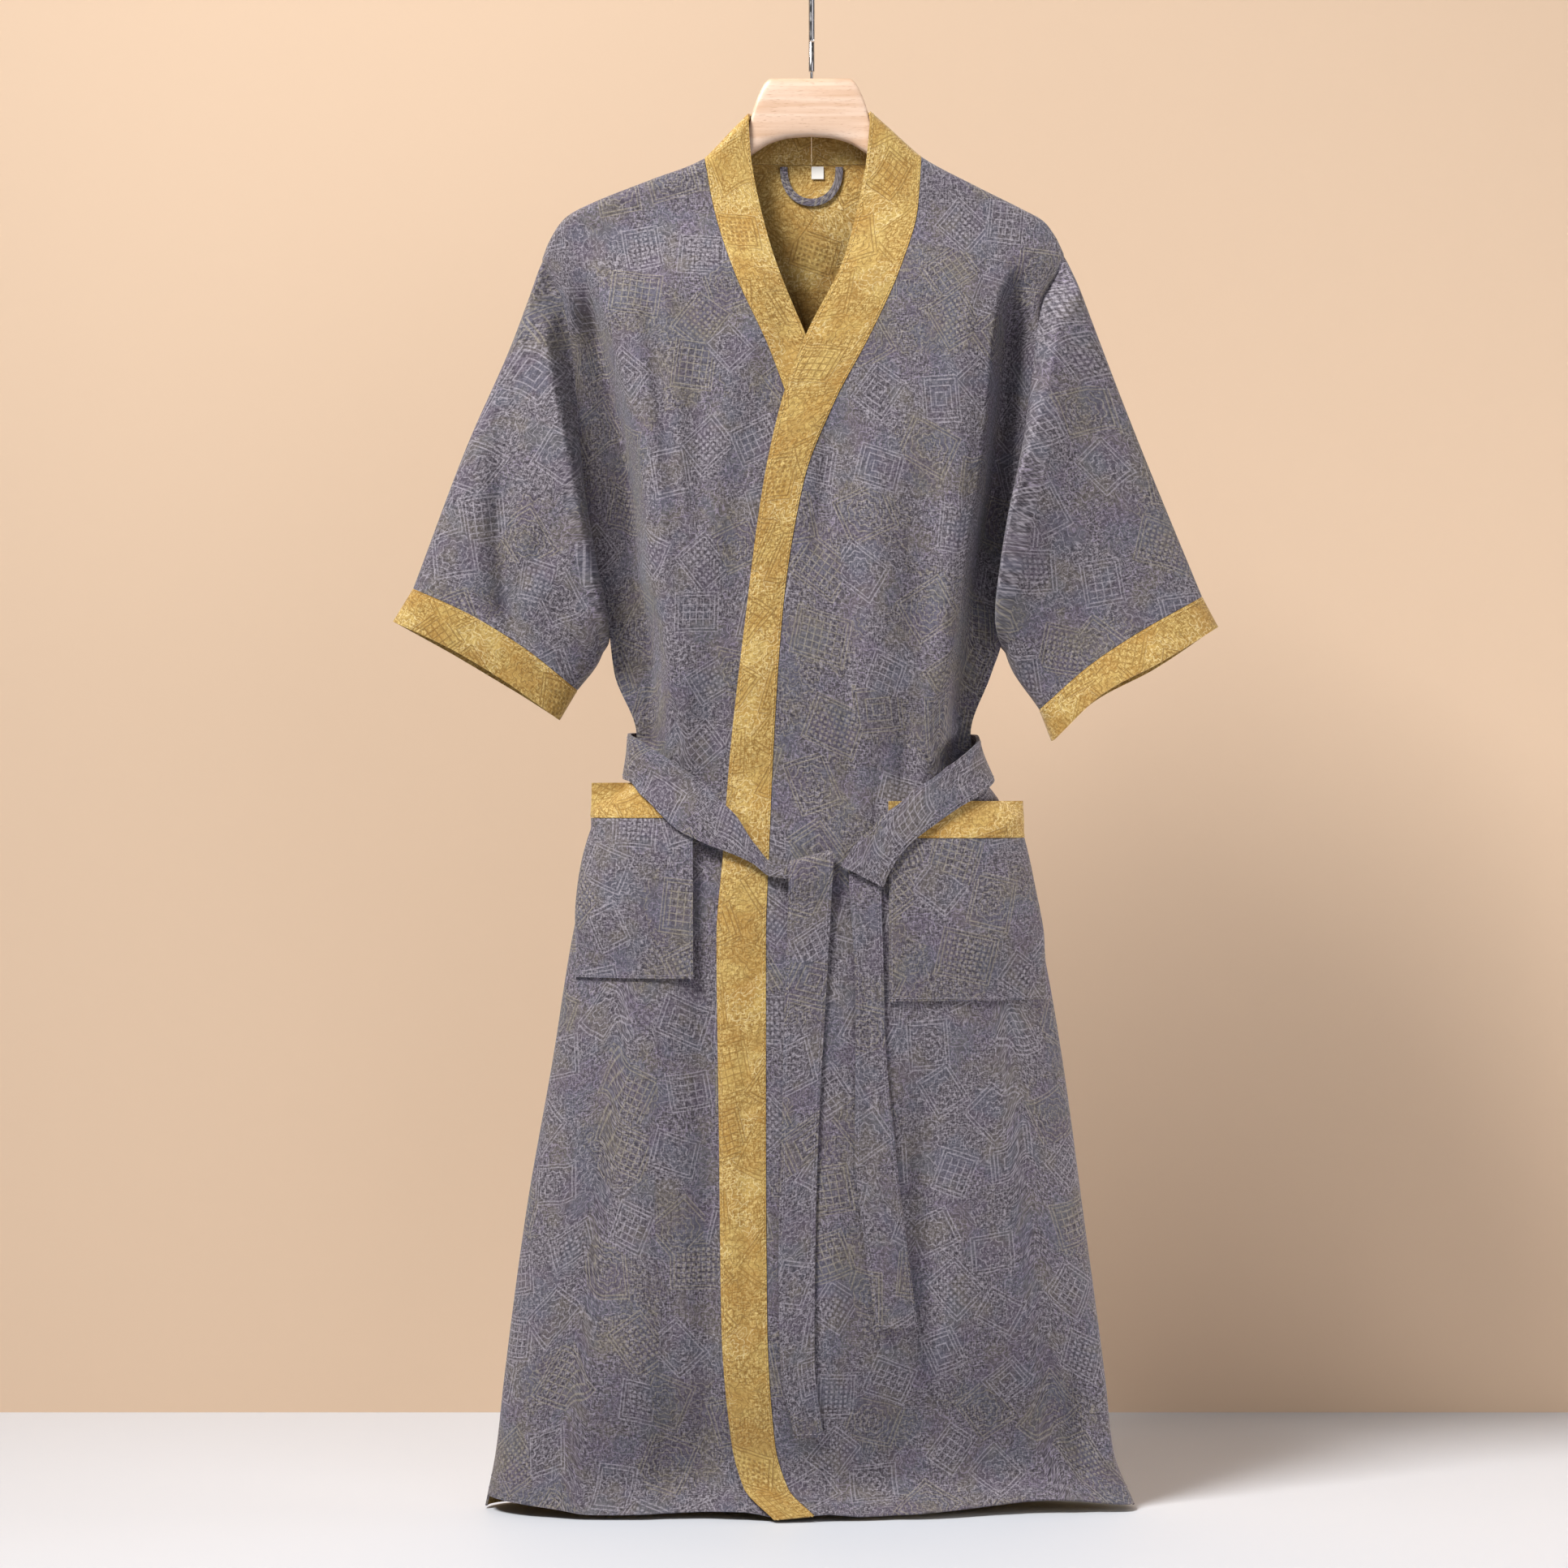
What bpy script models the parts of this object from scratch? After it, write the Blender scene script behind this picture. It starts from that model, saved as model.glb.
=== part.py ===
"""A short-sleeved kimono robe of double-faced cotton, hanging on a wooden hanger.

X runs to the right as seen from the front, Y to the back and Z up. The origin is the
inside top of the hook. Sizes are in millimetres up to point(), which makes them metres.
A drop is a distance below the origin. Left and right in the tables are as seen from the
front; the robe's own left, in the names of the pieces, is the other side.
"""
import math
from bisect import bisect_right
from collections import namedtuple

import bpy
from mathutils import Vector

# Cloth and seams
WALL = 1.8              # the double-faced cloth
BAND_WALL = 2.4         # bands and cuffs are folded double
BELT_WALL = 2.8
SEAM = 0.3              # between two pieces sewn together
RIM = 0.5               # how far a rim slants back
UNDER_LAP = 5.0         # how far behind the over front the under front lies
CROWN = 10.5            # round of the cloth over the hanger
SHAPE_POWER = 2.2       # how full the body's section is, 2 for an ellipse

# Lengths down from the hook
HEM = 1315.0
ARM_TOP_LEFT = 238.7
ARM_TOP_RIGHT = 234.5
UNDERARM = 565.6
BACK_NECK = 155.6
NECK_DROP = 152
HANGER_TOP = 84.0

# The body's outline, its depth to the front and back, and the depth of the armhole seam
Section = namedtuple("Section", "drop left right front back edge")
BODY = [
    Section(150, -232, 217, 11, 11, 0),
    Section(200, -232, 217, 22, 15, 0),
    Section(239, -232, 217, 30, 20, 0),
    Section(277, -214, 198, 35, 24, 8),
    Section(344, -204, 190, 41, 28, 8),
    Section(425, -197, 178, 46, 31, 8),
    Section(498, -186, 167, 49, 34, 7),
    Section(545, -176, 162, 50, 36, 4),
    Section(566, -174, 164, 51, 36, 0),
    Section(597, -170, 155, 52, 38, 0),
    Section(650, -151, 137, 50, 37, 0),
    Section(690, -156, 150, 48, 36, 0),
    Section(702, -165, 159, 49, 37, 0),
    Section(718, -176, 168, 51, 39, 0),
    Section(744, -186, 176, 54, 42, 0),
    Section(775, -195, 184, 57, 45, 0),
    Section(822, -206, 197, 60, 50, 0),
    Section(928, -223, 216, 62, 54, 0),
    Section(1060, -246, 234, 64, 58, 0),
    Section(1203, -265, 253, 68, 62, 0),
    Section(1265, -272, 260, 70, 64, 0),
    Section(1316, -282, 280, 72, 66, 0),
]

# The ridge of the shoulders and, between the two neck points, of the neck band
Crest = namedtuple("Crest", "x drop")
CREST = [
    Crest(-232, 239), Crest(-227, 226), Crest(-217, 209), Crest(-210, 202), Crest(-189, 191),
    Crest(-140, 171.5), Crest(-92.4, 152.6), Crest(-54.6, 114), Crest(0, 100), Crest(50, 114),
    Crest(94.5, 151.2), Crest(140, 175.7), Crest(182, 196.7), Crest(199.5, 206.5),
    Crest(210, 220), Crest(217, 234.5),
]
NECK_LEFT, NECK_RIGHT = -92.4, 94.5
ARM_LEFT, ARM_RIGHT = -232, 217

# Main folds: a trough goes into the garment, a ridge has a negative depth. The bow moves
# the middle of the fold sideways.
Fold = namedtuple("Fold", "side x_top x_low top low bow width depth")
FOLDS = [
    Fold("front", -186, -131, 200, 700, 6, 16, 24),
    Fold("front", 175, 131, 205, 700, 4, 16, 22),
    Fold("front", 15, 4, 380, 520, 0, 9, 4),
    Fold("front", 92, 88, 420, 640, 2, 18, 5),
    Fold("front", 54, 48, 380, 660, 3, 16, -5),
    Fold("front", -100, -96, 320, 500, 2, 13, 4),
    Fold("front", 78, 80, 620, 720, 0, 10, 6),
    Fold("front", -172, -180, 980, 1180, -4, 20, 6),
    Fold("front", -148, -156, 800, 1230, 3, 20, -6),
    Fold("front", -92, -86, 730, 1330, 2, 13, 6),
    Fold("front", 12, 18, 1000, 1300, 2, 13, -5),
    Fold("front", 92, 104, 930, 1270, -3, 18, 8),
    Fold("front", 170, 190, 1000, 1340, 4, 22, 6),
    Fold("back", -176, -128, 210, 700, 5, 16, 18),
    Fold("back", 166, 122, 210, 700, 4, 16, 17),
    Fold("back", -48, -62, 300, 660, -4, 20, 6),
    Fold("back", 36, 54, 360, 680, 3, 18, 5),
    Fold("back", -150, -176, 780, 1340, 5, 24, 9),
    Fold("back", -52, -66, 730, 1300, -4, 20, 8),
    Fold("back", 30, 38, 820, 1340, 4, 22, -7),
    Fold("back", 112, 136, 740, 1340, -5, 24, 9),
]

# The neck band on the front, from the ridge of the shoulder to the hem: where it meets the
# panel (drop and seam_x) and its free edge
Band = namedtuple("Band", "drop seam_x free_x free_drop")
BAND_UNDER = [
    Band(152.6, -92.4, -54.6, 114),
    Band(198, -84, -52.5, 150),
    Band(254, -66.5, -36, 228),
    Band(324, -35, -5, 308.7),
    Band(408, -6, 28, 385),
    Band(470, 12, 52, 455),
    Band(580, 25, 68, 570),
    Band(720, 31, 75, 715),
    Band(916, 36, 79, 914),
    Band(1130, 37, 80, 1130),
    Band(1312, 32, 74, 1310),
]
BAND_OVER = [
    Band(151.2, 94.5, 50.8, 112),
    Band(198, 91, 47, 155),
    Band(247, 77, 28, 240),
    Band(310, 49, -5, 308.7),
    Band(366, 19.6, -26, 366),
    Band(435, -7, -42, 440),
    Band(548, -25, -56, 546),
    Band(681, -33.6, -71, 681),
    Band(751, -36.4, -75.6, 751),
    Band(822, -39, -81, 822),
    Band(985, -39, -79, 985),
    Band(1150, -37.8, -76.8, 1150),
    Band(1250, -31.5, -68.6, 1250),
    Band(1290, -20, -58, 1290),
    Band(1311, 2, -32, 1314),
]
# The same band behind the neck, where the seam runs level at BACK_NECK
Collar = namedtuple("Collar", "seam_x free_x free_drop")
COLLAR = [
    Collar(0, 0, 112), Collar(26, 19, 111.8), Collar(50, 34, 111.8), Collar(70, 44, 112),
    Collar(84, 49.5, 112.5), Collar(90.5, 51.5, 113),
]

# Drop of the front hem, which lifts a little at the sides
Hem = namedtuple("Hem", "x drop")
FRONT_HEM = [
    Hem(-284, 1303), Hem(-217, 1309), Hem(-190, 1312), Hem(-60, 1309), Hem(-25, 1313),
    Hem(14, 1310), Hem(42, 1312), Hem(140, 1308), Hem(210, 1304), Hem(282, 1311),
]

# Sleeves: the top fold, the underarm fold and the seam with the cuff, seen from the front
Line = namedtuple("Line", "part x drop")
SLEEVE_TOP_LEFT = [
    Line(0, -232, 239), Line(0.14, -245, 280), Line(0.28, -256, 309), Line(0.6, -297, 402),
    Line(1, -343, 523.6),
]
SLEEVE_TOP_RIGHT = [
    Line(0, 217, 234.5), Line(0.1, 227, 259), Line(0.28, 243, 300), Line(0.6, 279, 392),
    Line(1, 336, 530.6),
]
SLEEVE_LOW_LEFT = [Line(0, -175, 566), Line(0.4, -184, 588), Line(1, -201.6, 611)]
SLEEVE_LOW_RIGHT = [Line(0, 163.5, 566), Line(0.4, 171, 590), Line(1, 196, 627.3)]
CUFF_SEAM_LEFT = [
    Line(0, -343, 523.6), Line(0.35, -294, 546), Line(0.7, -245, 576), Line(1, -201.6, 611),
]
CUFF_SEAM_RIGHT = [
    Line(0, 336, 530.6), Line(0.4, 280, 562), Line(0.7, 238, 590), Line(1, 196, 627.3),
]
CUFF_HEM_LEFT = [
    Line(0, -360.5, 552), Line(0.35, -308, 577), Line(0.7, -260, 606), Line(1, -217, 637),
]
CUFF_HEM_RIGHT = [
    Line(0, 350, 556.6), Line(0.4, 297, 588), Line(0.7, 249, 614), Line(1, 206.5, 655),
]
SLEEVE_FULL = 30        # how far the sleeve stands forward at its inner roll
SLEEVE_ROUND = 0.42     # how blunt a sleeve's section is, 0.5 for an ellipse
CUFF_FULL = 21          # half the depth of the open cuff

# The belt's upper and lower edge. A turn is an angle round the body: 0 is the middle of
# the front, -90 the left side and 90 the right side. A tail's tilt is how much lower its
# left edge is, and off is how far its outside stands before the front.
Belt = namedtuple("Belt", "run turn_top top turn_low low")
BELT = [
    Belt(0, 0, 762, -1, 774), Belt(20, -8, 760, -9, 771), Belt(40, -14, 743, -14, 760),
    Belt(60, -20.5, 719, -20.5, 751), Belt(80, -27, 706, -27, 744), Belt(105, -36, 690, -36, 734),
    Belt(140, -53, 668, -53, 709), Belt(190, -78, 651, -78, 691), Belt(240, -100, 647, -100, 687),
    Belt(370, -180, 644, -180, 683), Belt(500, -262, 649, -262, 690),
    Belt(550, -282, 660, -282, 704), Belt(590, -299, 669, -299, 722), Belt(620, -313, 685, -313, 743),
    Belt(640, -322, 702, -321, 757), Belt(660, -329, 722, -328, 768), Belt(690, -338.5, 742, -336, 777),
    Belt(712, -351, 762, -340, 780),
]
BELT_OFF = 5.4          # the belt's inside stands off the body by a pocket's wall
Tail = namedtuple("Tail", "drop left right off tilt")
TAIL_LONG = [
    Tail(747.5, -18, 16, 6.5, 9), Tail(749, -19.5, 17.5, 10.5, 9), Tail(753, -20, 18, 12.3, 9),
    Tail(765, -20, 17.5, 12.3, 6), Tail(795, -20.5, 16, 7, 2), Tail(865, -23, 12, 3.9, 0),
    Tail(996, -26, 5, 3.9, 0), Tail(1089, -28.5, 2.5, 3.9, 0), Tail(1180, -27, 2, 3.9, 0),
    Tail(1246, -15, 10, 4.5, 0),
]
TAIL_SHORT = [
    Tail(768, 31, 58.8, 4.1, 0), Tail(790, 32, 58.8, 4.1, 0), Tail(850, 36, 60.5, 3.9, 0),
    Tail(900, 37, 61.5, 3.9, 0), Tail(996, 36, 70, 3.9, 0), Tail(1080, 44, 80, 3.9, 0),
    Tail(1153, 54, 90, 4.5, 0),
]

# Patch pockets: the turns of the outer edge at the mouth and the foot, where the inner edge
# is across the front, the drops of the mouth, of the band's seam and of the foot, and the
# drop from which the bag hangs straight while the belt draws the body in
Pocket = namedtuple("Pocket", "side turn turn_foot edge mouth seam foot hang")
POCKETS = [
    Pocket("right", -87, -72, -101, 691, 721, 857, 730),
    Pocket("left", 87, 76, 65, 706.5, 738, 876, 735),
]
POCKET_OFF_TOP = 2.2    # between the front and a pocket, at its mouth and its foot
POCKET_OFF_LOW = 0.8
POCKET_FULL = 9.0       # how far a pocket's middle stands out further

# Hanging loop and size label, inside the back neck
LOOP = dict(half=24, drop=31, width=6.5, wall=1.6, gap=0.7)
LABEL = dict(left=0, right=10.5, top=157, low=168, wall=1.0, gap=0.6)

# The hanger's board and its hook
Board = namedtuple("Board", "x top low half")
BOARD_MIDDLE = -1.2
BOARD = [
    Board(0, 84, 133.7, 6.8), Board(18, 84, 135, 6.8), Board(34, 84, 139.5, 6.8),
    Board(38, 86.5, 141.5, 6.8), Board(44, 97, 145.5, 6.8), Board(49.5, 112, 149, 6.8),
    Board(51.2, 119.5, 151, 6.8), Board(58, 130, 155, 6.2), Board(72, 145, 165, 6.2),
]
ARM_STATIONS = (94, 115, 140, 165, 185, 193)
ARM_DEEP = 22
HOOK_WIRE = 2.6
HOOK_ROUND = 20.0       # inside the hook
HOOK_LEG = 57.0         # how far the free end comes down at the front
HOOK_STEM = 77.7        # foot of the hook's stem

GREY = (0.235, 0.225, 0.265)
MUSTARD = (0.66, 0.43, 0.10)
BEECH = (0.72, 0.52, 0.38)
STEEL = (0.55, 0.55, 0.56)
WHITE = (0.85, 0.84, 0.80)


def follow(rows, column, key="drop"):
    """A smooth curve, without overshoot, through one column of a table."""
    keys = [getattr(row, key) for row in rows]
    values = [getattr(row, column) for row in rows]
    slopes = [(values[i + 1] - values[i]) / (keys[i + 1] - keys[i]) for i in range(len(keys) - 1)]
    turns = [slopes[0]]
    for before, after in zip(slopes, slopes[1:]):
        turns.append(2 * before * after / (before + after) if before * after > 0 else 0.0)
    turns.append(slopes[-1])

    def value(at):
        if at <= keys[0]:
            return values[0]
        if at >= keys[-1]:
            return values[-1]
        i = bisect_right(keys, at) - 1
        span = keys[i + 1] - keys[i]
        t = (at - keys[i]) / span
        return (values[i] * (1 + 2 * t) * (1 - t) ** 2 + values[i + 1] * t * t * (3 - 2 * t)
                + span * turns[i] * t * (1 - t) ** 2 - span * turns[i + 1] * t * t * (1 - t))
    return value


def ease(value, low, high):
    """0 below low, 1 above high, smooth between."""
    t = min(1.0, max(0.0, (value - low) / (high - low)))
    return t * t * (3 - 2 * t)


def mix(a, b, t):
    return a + (b - a) * t


def point(x, y, drop):
    return Vector((x, y, -drop)) * 0.001


left_side = follow(BODY, "left")
right_side = follow(BODY, "right")
depth_to = {"front": follow(BODY, "front"), "back": follow(BODY, "back")}
arm_edge = follow(BODY, "edge")
crest = follow(CREST, "drop", "x")
front_hem = follow(FRONT_HEM, "drop", "x")
under_seam = follow(BAND_UNDER, "seam_x")
over_seam = follow(BAND_OVER, "seam_x")
over_free = follow(BAND_OVER[3:], "free_x", "free_drop")


def folds(side, x, drop):
    """Depth of the main folds at one place on the body."""
    total = 0.0
    for fold in FOLDS:
        if fold.side == side and fold.top < drop < fold.low:
            t = (drop - fold.top) / (fold.low - fold.top)
            middle = mix(fold.x_top, fold.x_low, t) + fold.bow * math.sin(math.pi * t)
            total += fold.depth * math.sin(math.pi * t) ** 0.7 * math.exp(-((x - middle) / fold.width) ** 2)
    return total


def crown(run):
    """How far the cloth has rounded forward or back, this far down from a ridge."""
    return CROWN * math.sqrt(1 - (1 - min(1.0, run / CROWN)) ** 2)


def body_depth(side, x, drop):
    """How far the outside of the body stands from the hanger's plane."""
    left, right = left_side(drop), right_side(drop)
    across = min(1.0, abs((2 * x - left - right) / (right - left)))
    full = (1 - across ** SHAPE_POWER) ** (1 / SHAPE_POWER)
    deep = mix(arm_edge(drop), depth_to[side](drop), full)
    below = max(0.0, drop - crest(x))
    round_top = crown(below)
    below = drop - max(crest(x), NECK_DROP)
    deep = round_top + (deep - CROWN) * ease(below, 8, 110)
    return deep - folds(side, x, drop) * full * ease(below, 20, 90)


def front_y(x, drop):
    return -body_depth("front", x, drop)


def under_y(x, drop):
    """The under front lies behind the over front from the free edge of its band on."""
    free = over_free(min(drop, 1180))
    return front_y(x, drop) + UNDER_LAP * ease(x, free - 48, free - 12)


def back_y(x, drop):
    """The back, which stands clear of the hanger's middle at the neck."""
    neck = max(0.0, 1 - (x / NECK_LEFT) ** 2) ** 2 * math.exp(-max(0.0, drop - BACK_NECK) / 60)
    return body_depth("back", x, drop) + 9 * neck


def material(name, colour, roughness, metallic=0.0):
    made = bpy.data.materials.new(name)
    made.use_nodes = True
    shader = made.node_tree.nodes["Principled BSDF"]
    shader.inputs["Base Color"].default_value = (*colour, 1)
    shader.inputs["Roughness"].default_value = roughness
    shader.inputs["Metallic"].default_value = metallic
    return made


def place(name, mesh, colour, roughness, metallic=0.0):
    made = bpy.data.objects.new(name, mesh)
    mesh.materials.append(material(name, colour, roughness, metallic))
    robe.objects.link(made)
    return made


def draw_back(rows, i, j, ring):
    """A rim slants back by RIM on its inside, so that it clears the rim it is sewn to."""
    high, wide = len(rows), len(rows[0])
    moved = Vector()
    if i in (0, high - 1):
        moved += (rows[1][j] - rows[0][j] if i == 0 else rows[-2][j] - rows[-1][j]).normalized()
    if not ring and j in (0, wide - 1):
        moved += (rows[i][1] - rows[i][0] if j == 0 else rows[i][-2] - rows[i][-1]).normalized()
    return moved * RIM * 0.001


def cloth(name, rows, colour, wall=WALL, ring=False, turned=False):
    """A wall of cloth whose outside passes through rows of points.

    ring joins the ends of each row. turned is for rows whose outside is on the other hand.
    Where an edge is sewn to its neighbour in the hanger's plane, the wall's rim is square
    to Y, so that the two rims stay apart.
    """
    high, wide = len(rows), len(rows[0])
    inner = []
    for i in range(high):
        inner.append([])
        for j in range(wide):
            up, down = rows[max(0, i - 1)][j], rows[min(high - 1, i + 1)][j]
            if ring:
                before, after = rows[i][j - 1], rows[i][(j + 1) % wide]
            else:
                before, after = rows[i][max(0, j - 1)], rows[i][min(wide - 1, j + 1)]
            normal = (after - before).cross(down - up)
            if not ring and abs(rows[i][j].y) < SEAM * 0.001:
                normal.y = 0
            normal.normalize()
            inside = rows[i][j] + normal * wall * 0.001 * (-1 if turned else 1)
            inner[i].append(inside + draw_back(rows, i, j, ring))
    points = [p for row in rows for p in row] + [p for row in inner for p in row]
    half = high * wide
    faces = []
    for i in range(high - 1):
        for j in range(wide if ring else wide - 1):
            a, b = i * wide + j, i * wide + (j + 1) % wide
            faces.append((a, a + wide, b + wide, b))
            faces.append((half + b, half + b + wide, half + a + wide, half + a))
    for j in range(wide if ring else wide - 1):
        b = (j + 1) % wide
        low = (high - 1) * wide
        faces.append((j, b, half + b, half + j))
        faces.append((low + b, low + j, half + low + j, half + low + b))
    if not ring:
        for i in range(high - 1):
            a, b = i * wide, i * wide + wide - 1
            faces.append((a + wide, a, half + a, half + a + wide))
            faces.append((b, b + wide, half + b + wide, half + b))
    if turned:
        faces = [face[::-1] for face in faces]
    mesh = bpy.data.meshes.new(name)
    mesh.from_pydata(points, [], faces)
    mesh.shade_smooth()
    mesh.set_sharp_from_angle(angle=math.radians(50))
    return place(name, mesh, colour, 0.9)


def shares(count, near_start=(), near_end=()):
    """Even shares from 0 to 1, with closer ones named at either end."""
    even = [i / count for i in range(count + 1)]
    first = near_start[-1] if near_start else 0
    last = near_end[0] if near_end else 1
    return ([0.0] if near_start else []) + list(near_start) + [
        t for t in even if (not near_start or t > first * 1.6) and (not near_end or t < 1 - (1 - last) * 1.6)
    ] + list(near_end) + ([1.0] if near_end else [])


# Rows down a panel: close together where the cloth rounds over the hanger
PANEL_ROWS = sorted(shares(30, (0.0012, 0.0036, 0.0090, 0.020)) + [0.3833, 0.4167, 0.4333, 0.45])
PANEL_COLUMNS = [math.sin(math.pi / 2 * i / 13) for i in range(14)]
KNEE = 0.3              # the row that meets the underarm
SETTLE = 0.16           # rows over which the spacing along the shoulder gives way to the body's
BACK_SPREAD = 0.97      # how far apart the columns of the back neck lie


def row_drop(top, low, across, down):
    """The drop of one place on a row, which reaches the underarm at the side of its knee."""
    knee = mix(mix(top, low, KNEE), UNDERARM, across ** 2)
    return mix(top, knee, down / KNEE) if down < KNEE else mix(knee, low, (down - KNEE) / (1 - KNEE))


def panel_rows(inner, outer, neck, arm_top, depth):
    """Rows of a front: from its band's seam to the armhole and side seam."""
    side = 1 if arm_top > neck else -1
    rows = []
    for down in PANEL_ROWS:
        row = []
        for across in PANEL_COLUMNS:
            top_x = mix(neck, arm_top, across)
            top = crest(top_x)
            low = front_hem(mix(inner(HEM), outer(HEM), across))
            drop = row_drop(top, low, across, down)
            x = mix(inner(drop), outer(drop), across)
            start = mix(inner(top), outer(top), across)
            x += (top_x - start) * max(0.0, 1 - down / SETTLE) ** 2
            x += side * SEAM / 2 * (1 - 2 * across)
            y = min(-SEAM / 2, depth(x, drop))
            row.append(point(x, y, drop))
        rows.append(row)
    return rows


def build_fronts():
    """The wearer's left front lies over the right one and carries the over band."""
    over = panel_rows(over_seam, right_side, NECK_RIGHT, ARM_RIGHT, front_y)
    cloth("front_left", over, GREY)
    under = panel_rows(under_seam, left_side, NECK_LEFT, ARM_LEFT, under_y)
    cloth("front_right", under, GREY, turned=True)


def build_back():
    """One panel, straight across the back neck and rounded over the hanger's arms."""
    arm = [math.sin(math.pi / 2 * (i + 4) / 12) for i in range(1, 9)]
    tops = []
    for neck, end in ((NECK_RIGHT, ARM_RIGHT), (-NECK_LEFT, -ARM_LEFT)):
        shoulder = [mix(neck, end, (t - arm[0]) / (1 - arm[0])) for t in arm]
        half = [(row.seam_x, row.seam_x / end * BACK_SPREAD) for row in COLLAR]
        half += [(x, mix(x / end * BACK_SPREAD, 1, ease(x, neck, end))) for x in shoulder]
        tops.append(half)
    columns = [(-x, -across) for x, across in tops[1][:0:-1]] + tops[0]
    rows = []
    for down in PANEL_ROWS:
        row = []
        for top_x, across in columns:
            inside_neck = NECK_LEFT + 0.1 < top_x < NECK_RIGHT - 0.1
            top = BACK_NECK + SEAM / 2 if inside_neck else crest(top_x)
            low = HEM - 1.5 * (1 + math.sin(across * 9))
            drop = row_drop(top, low, abs(across), down)
            x = mix(left_side(drop), right_side(drop), (across + 1) / 2)
            start = mix(left_side(top), right_side(top), (across + 1) / 2)
            x += (top_x - start) * max(0.0, 1 - down / SETTLE) ** 2 - across * SEAM / 2
            row.append(point(x, max(SEAM / 2, back_y(x, drop)), drop))
        rows.append(row)
    cloth("back_panel", rows, GREY, turned=True)


def band_rows(table, side, depth, lift):
    """Stations along half a neck band, from the centre back to the hem."""
    parts = (0, 0.33, 0.67, 1)
    neck = abs(table[0].seam_x)
    rows = []
    for collar in COLLAR:
        run = neck - collar.seam_x
        row = []
        for part in parts:
            x = side * mix(collar.seam_x, collar.free_x, part)
            drop = mix(BACK_NECK - SEAM, collar.free_drop, part)
            y = max(back_y(x, drop), crown(2 * run) * part)
            row.append(point(x, y, drop))
        rows.append(row)
    for centre in rows[0]:
        centre.x = side * SEAM / 2 * 0.001
    free_x, free_drop = follow(table, "free_x"), follow(table, "free_drop")
    seam_x = follow(table, "seam_x")
    top = table[0].drop
    low = front_hem(table[-1].seam_x)
    for down in PANEL_ROWS:
        seam_drop = mix(top, low, down)
        run = seam_drop - top
        row = []
        for part in parts:
            x = mix(seam_x(seam_drop) - side * SEAM / 2, free_x(seam_drop), part)
            drop = mix(seam_drop, free_drop(seam_drop), part)
            y = depth(x, drop) - lift * ease(run, 20, 60)
            row.append(point(x, mix(y, -crown(run), part * (1 - ease(run, 4, 60))), drop))
        rows.append(row)
    return rows


def build_neck_band():
    """Two strips folded double, joined at the centre back."""
    over = band_rows(BAND_OVER, 1, front_y, 0.6)
    cloth("neck_band_left", over, MUSTARD, wall=BAND_WALL, turned=True)
    under = band_rows(BAND_UNDER, -1, under_y, 0.3)
    cloth("neck_band_right", under, MUSTARD, wall=BAND_WALL)


# Shares of the way round half a sleeve, which meet the rows of the panels at the armhole
HALF_RING = [down / KNEE for down in PANEL_ROWS if down < KNEE - 0.001] + [1.0]
RING = [(share, 1) for share in HALF_RING] + [(share, -1) for share in HALF_RING[-2:0:-1]]
SLEEVE_ROWS = (0, 0.04, 0.09, 0.16, 0.27, 0.4, 0.55, 0.7, 0.85, 1)


def line(rows):
    """A line of the sleeve as a function that gives its place from its share, 0 to 1."""
    x, drop = follow(rows, "x", "part"), follow(rows, "drop", "part")
    return lambda part: Vector((x(part), drop(part)))


def sleeve_rows(side, top, low, seam, seam_line, arm_top):
    """Rings from the armhole to the cuff. A ring starts at the top fold and goes down the front."""
    top, low, seam = line(top), line(low), line(seam)

    def armhole(share):
        drop = mix(arm_top, UNDERARM, share)
        return Vector((seam_line(drop), drop))
    rows = []
    for out in SLEEVE_ROWS:
        row = []
        for share, face in RING:
            start = armhole(share)
            corners = mix(mix(armhole(0), armhole(1), share), mix(seam(0), seam(1), share), out)
            spot = mix(start, seam(share), out) + mix(top(out), low(out), share) - corners
            depth = body_depth("front" if face > 0 else "back", start.x, start.y)
            fullness = (4 * share * (1 - share)) ** SLEEVE_ROUND
            swell = SLEEVE_FULL * fullness * ease(out, 0, 0.13) * (1 - 0.45 * ease(out, 0.1, 1))
            y = depth * (1 - ease(out, 0, 0.5)) + swell + CUFF_FULL * 0.25 * fullness * out
            row.append(point(spot.x + side * SEAM / 2, -y if face > 0 else y, spot.y))
        rows.append(row)
    return rows


def build_sleeves():
    """Short wide sleeves, each one tube from the armhole to its cuff."""
    left = sleeve_rows(1, SLEEVE_TOP_RIGHT, SLEEVE_LOW_RIGHT, CUFF_SEAM_RIGHT, right_side, ARM_TOP_RIGHT)
    right = sleeve_rows(-1, SLEEVE_TOP_LEFT, SLEEVE_LOW_LEFT, CUFF_SEAM_LEFT, left_side, ARM_TOP_LEFT)
    cloth("sleeve_left", left, GREY, ring=True, turned=True)
    cloth("sleeve_right", right, GREY, ring=True)
    build_cuff("cuff_left", left[-1], CUFF_SEAM_RIGHT, CUFF_HEM_RIGHT, True)
    build_cuff("cuff_right", right[-1], CUFF_SEAM_LEFT, CUFF_HEM_LEFT, False)


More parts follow.
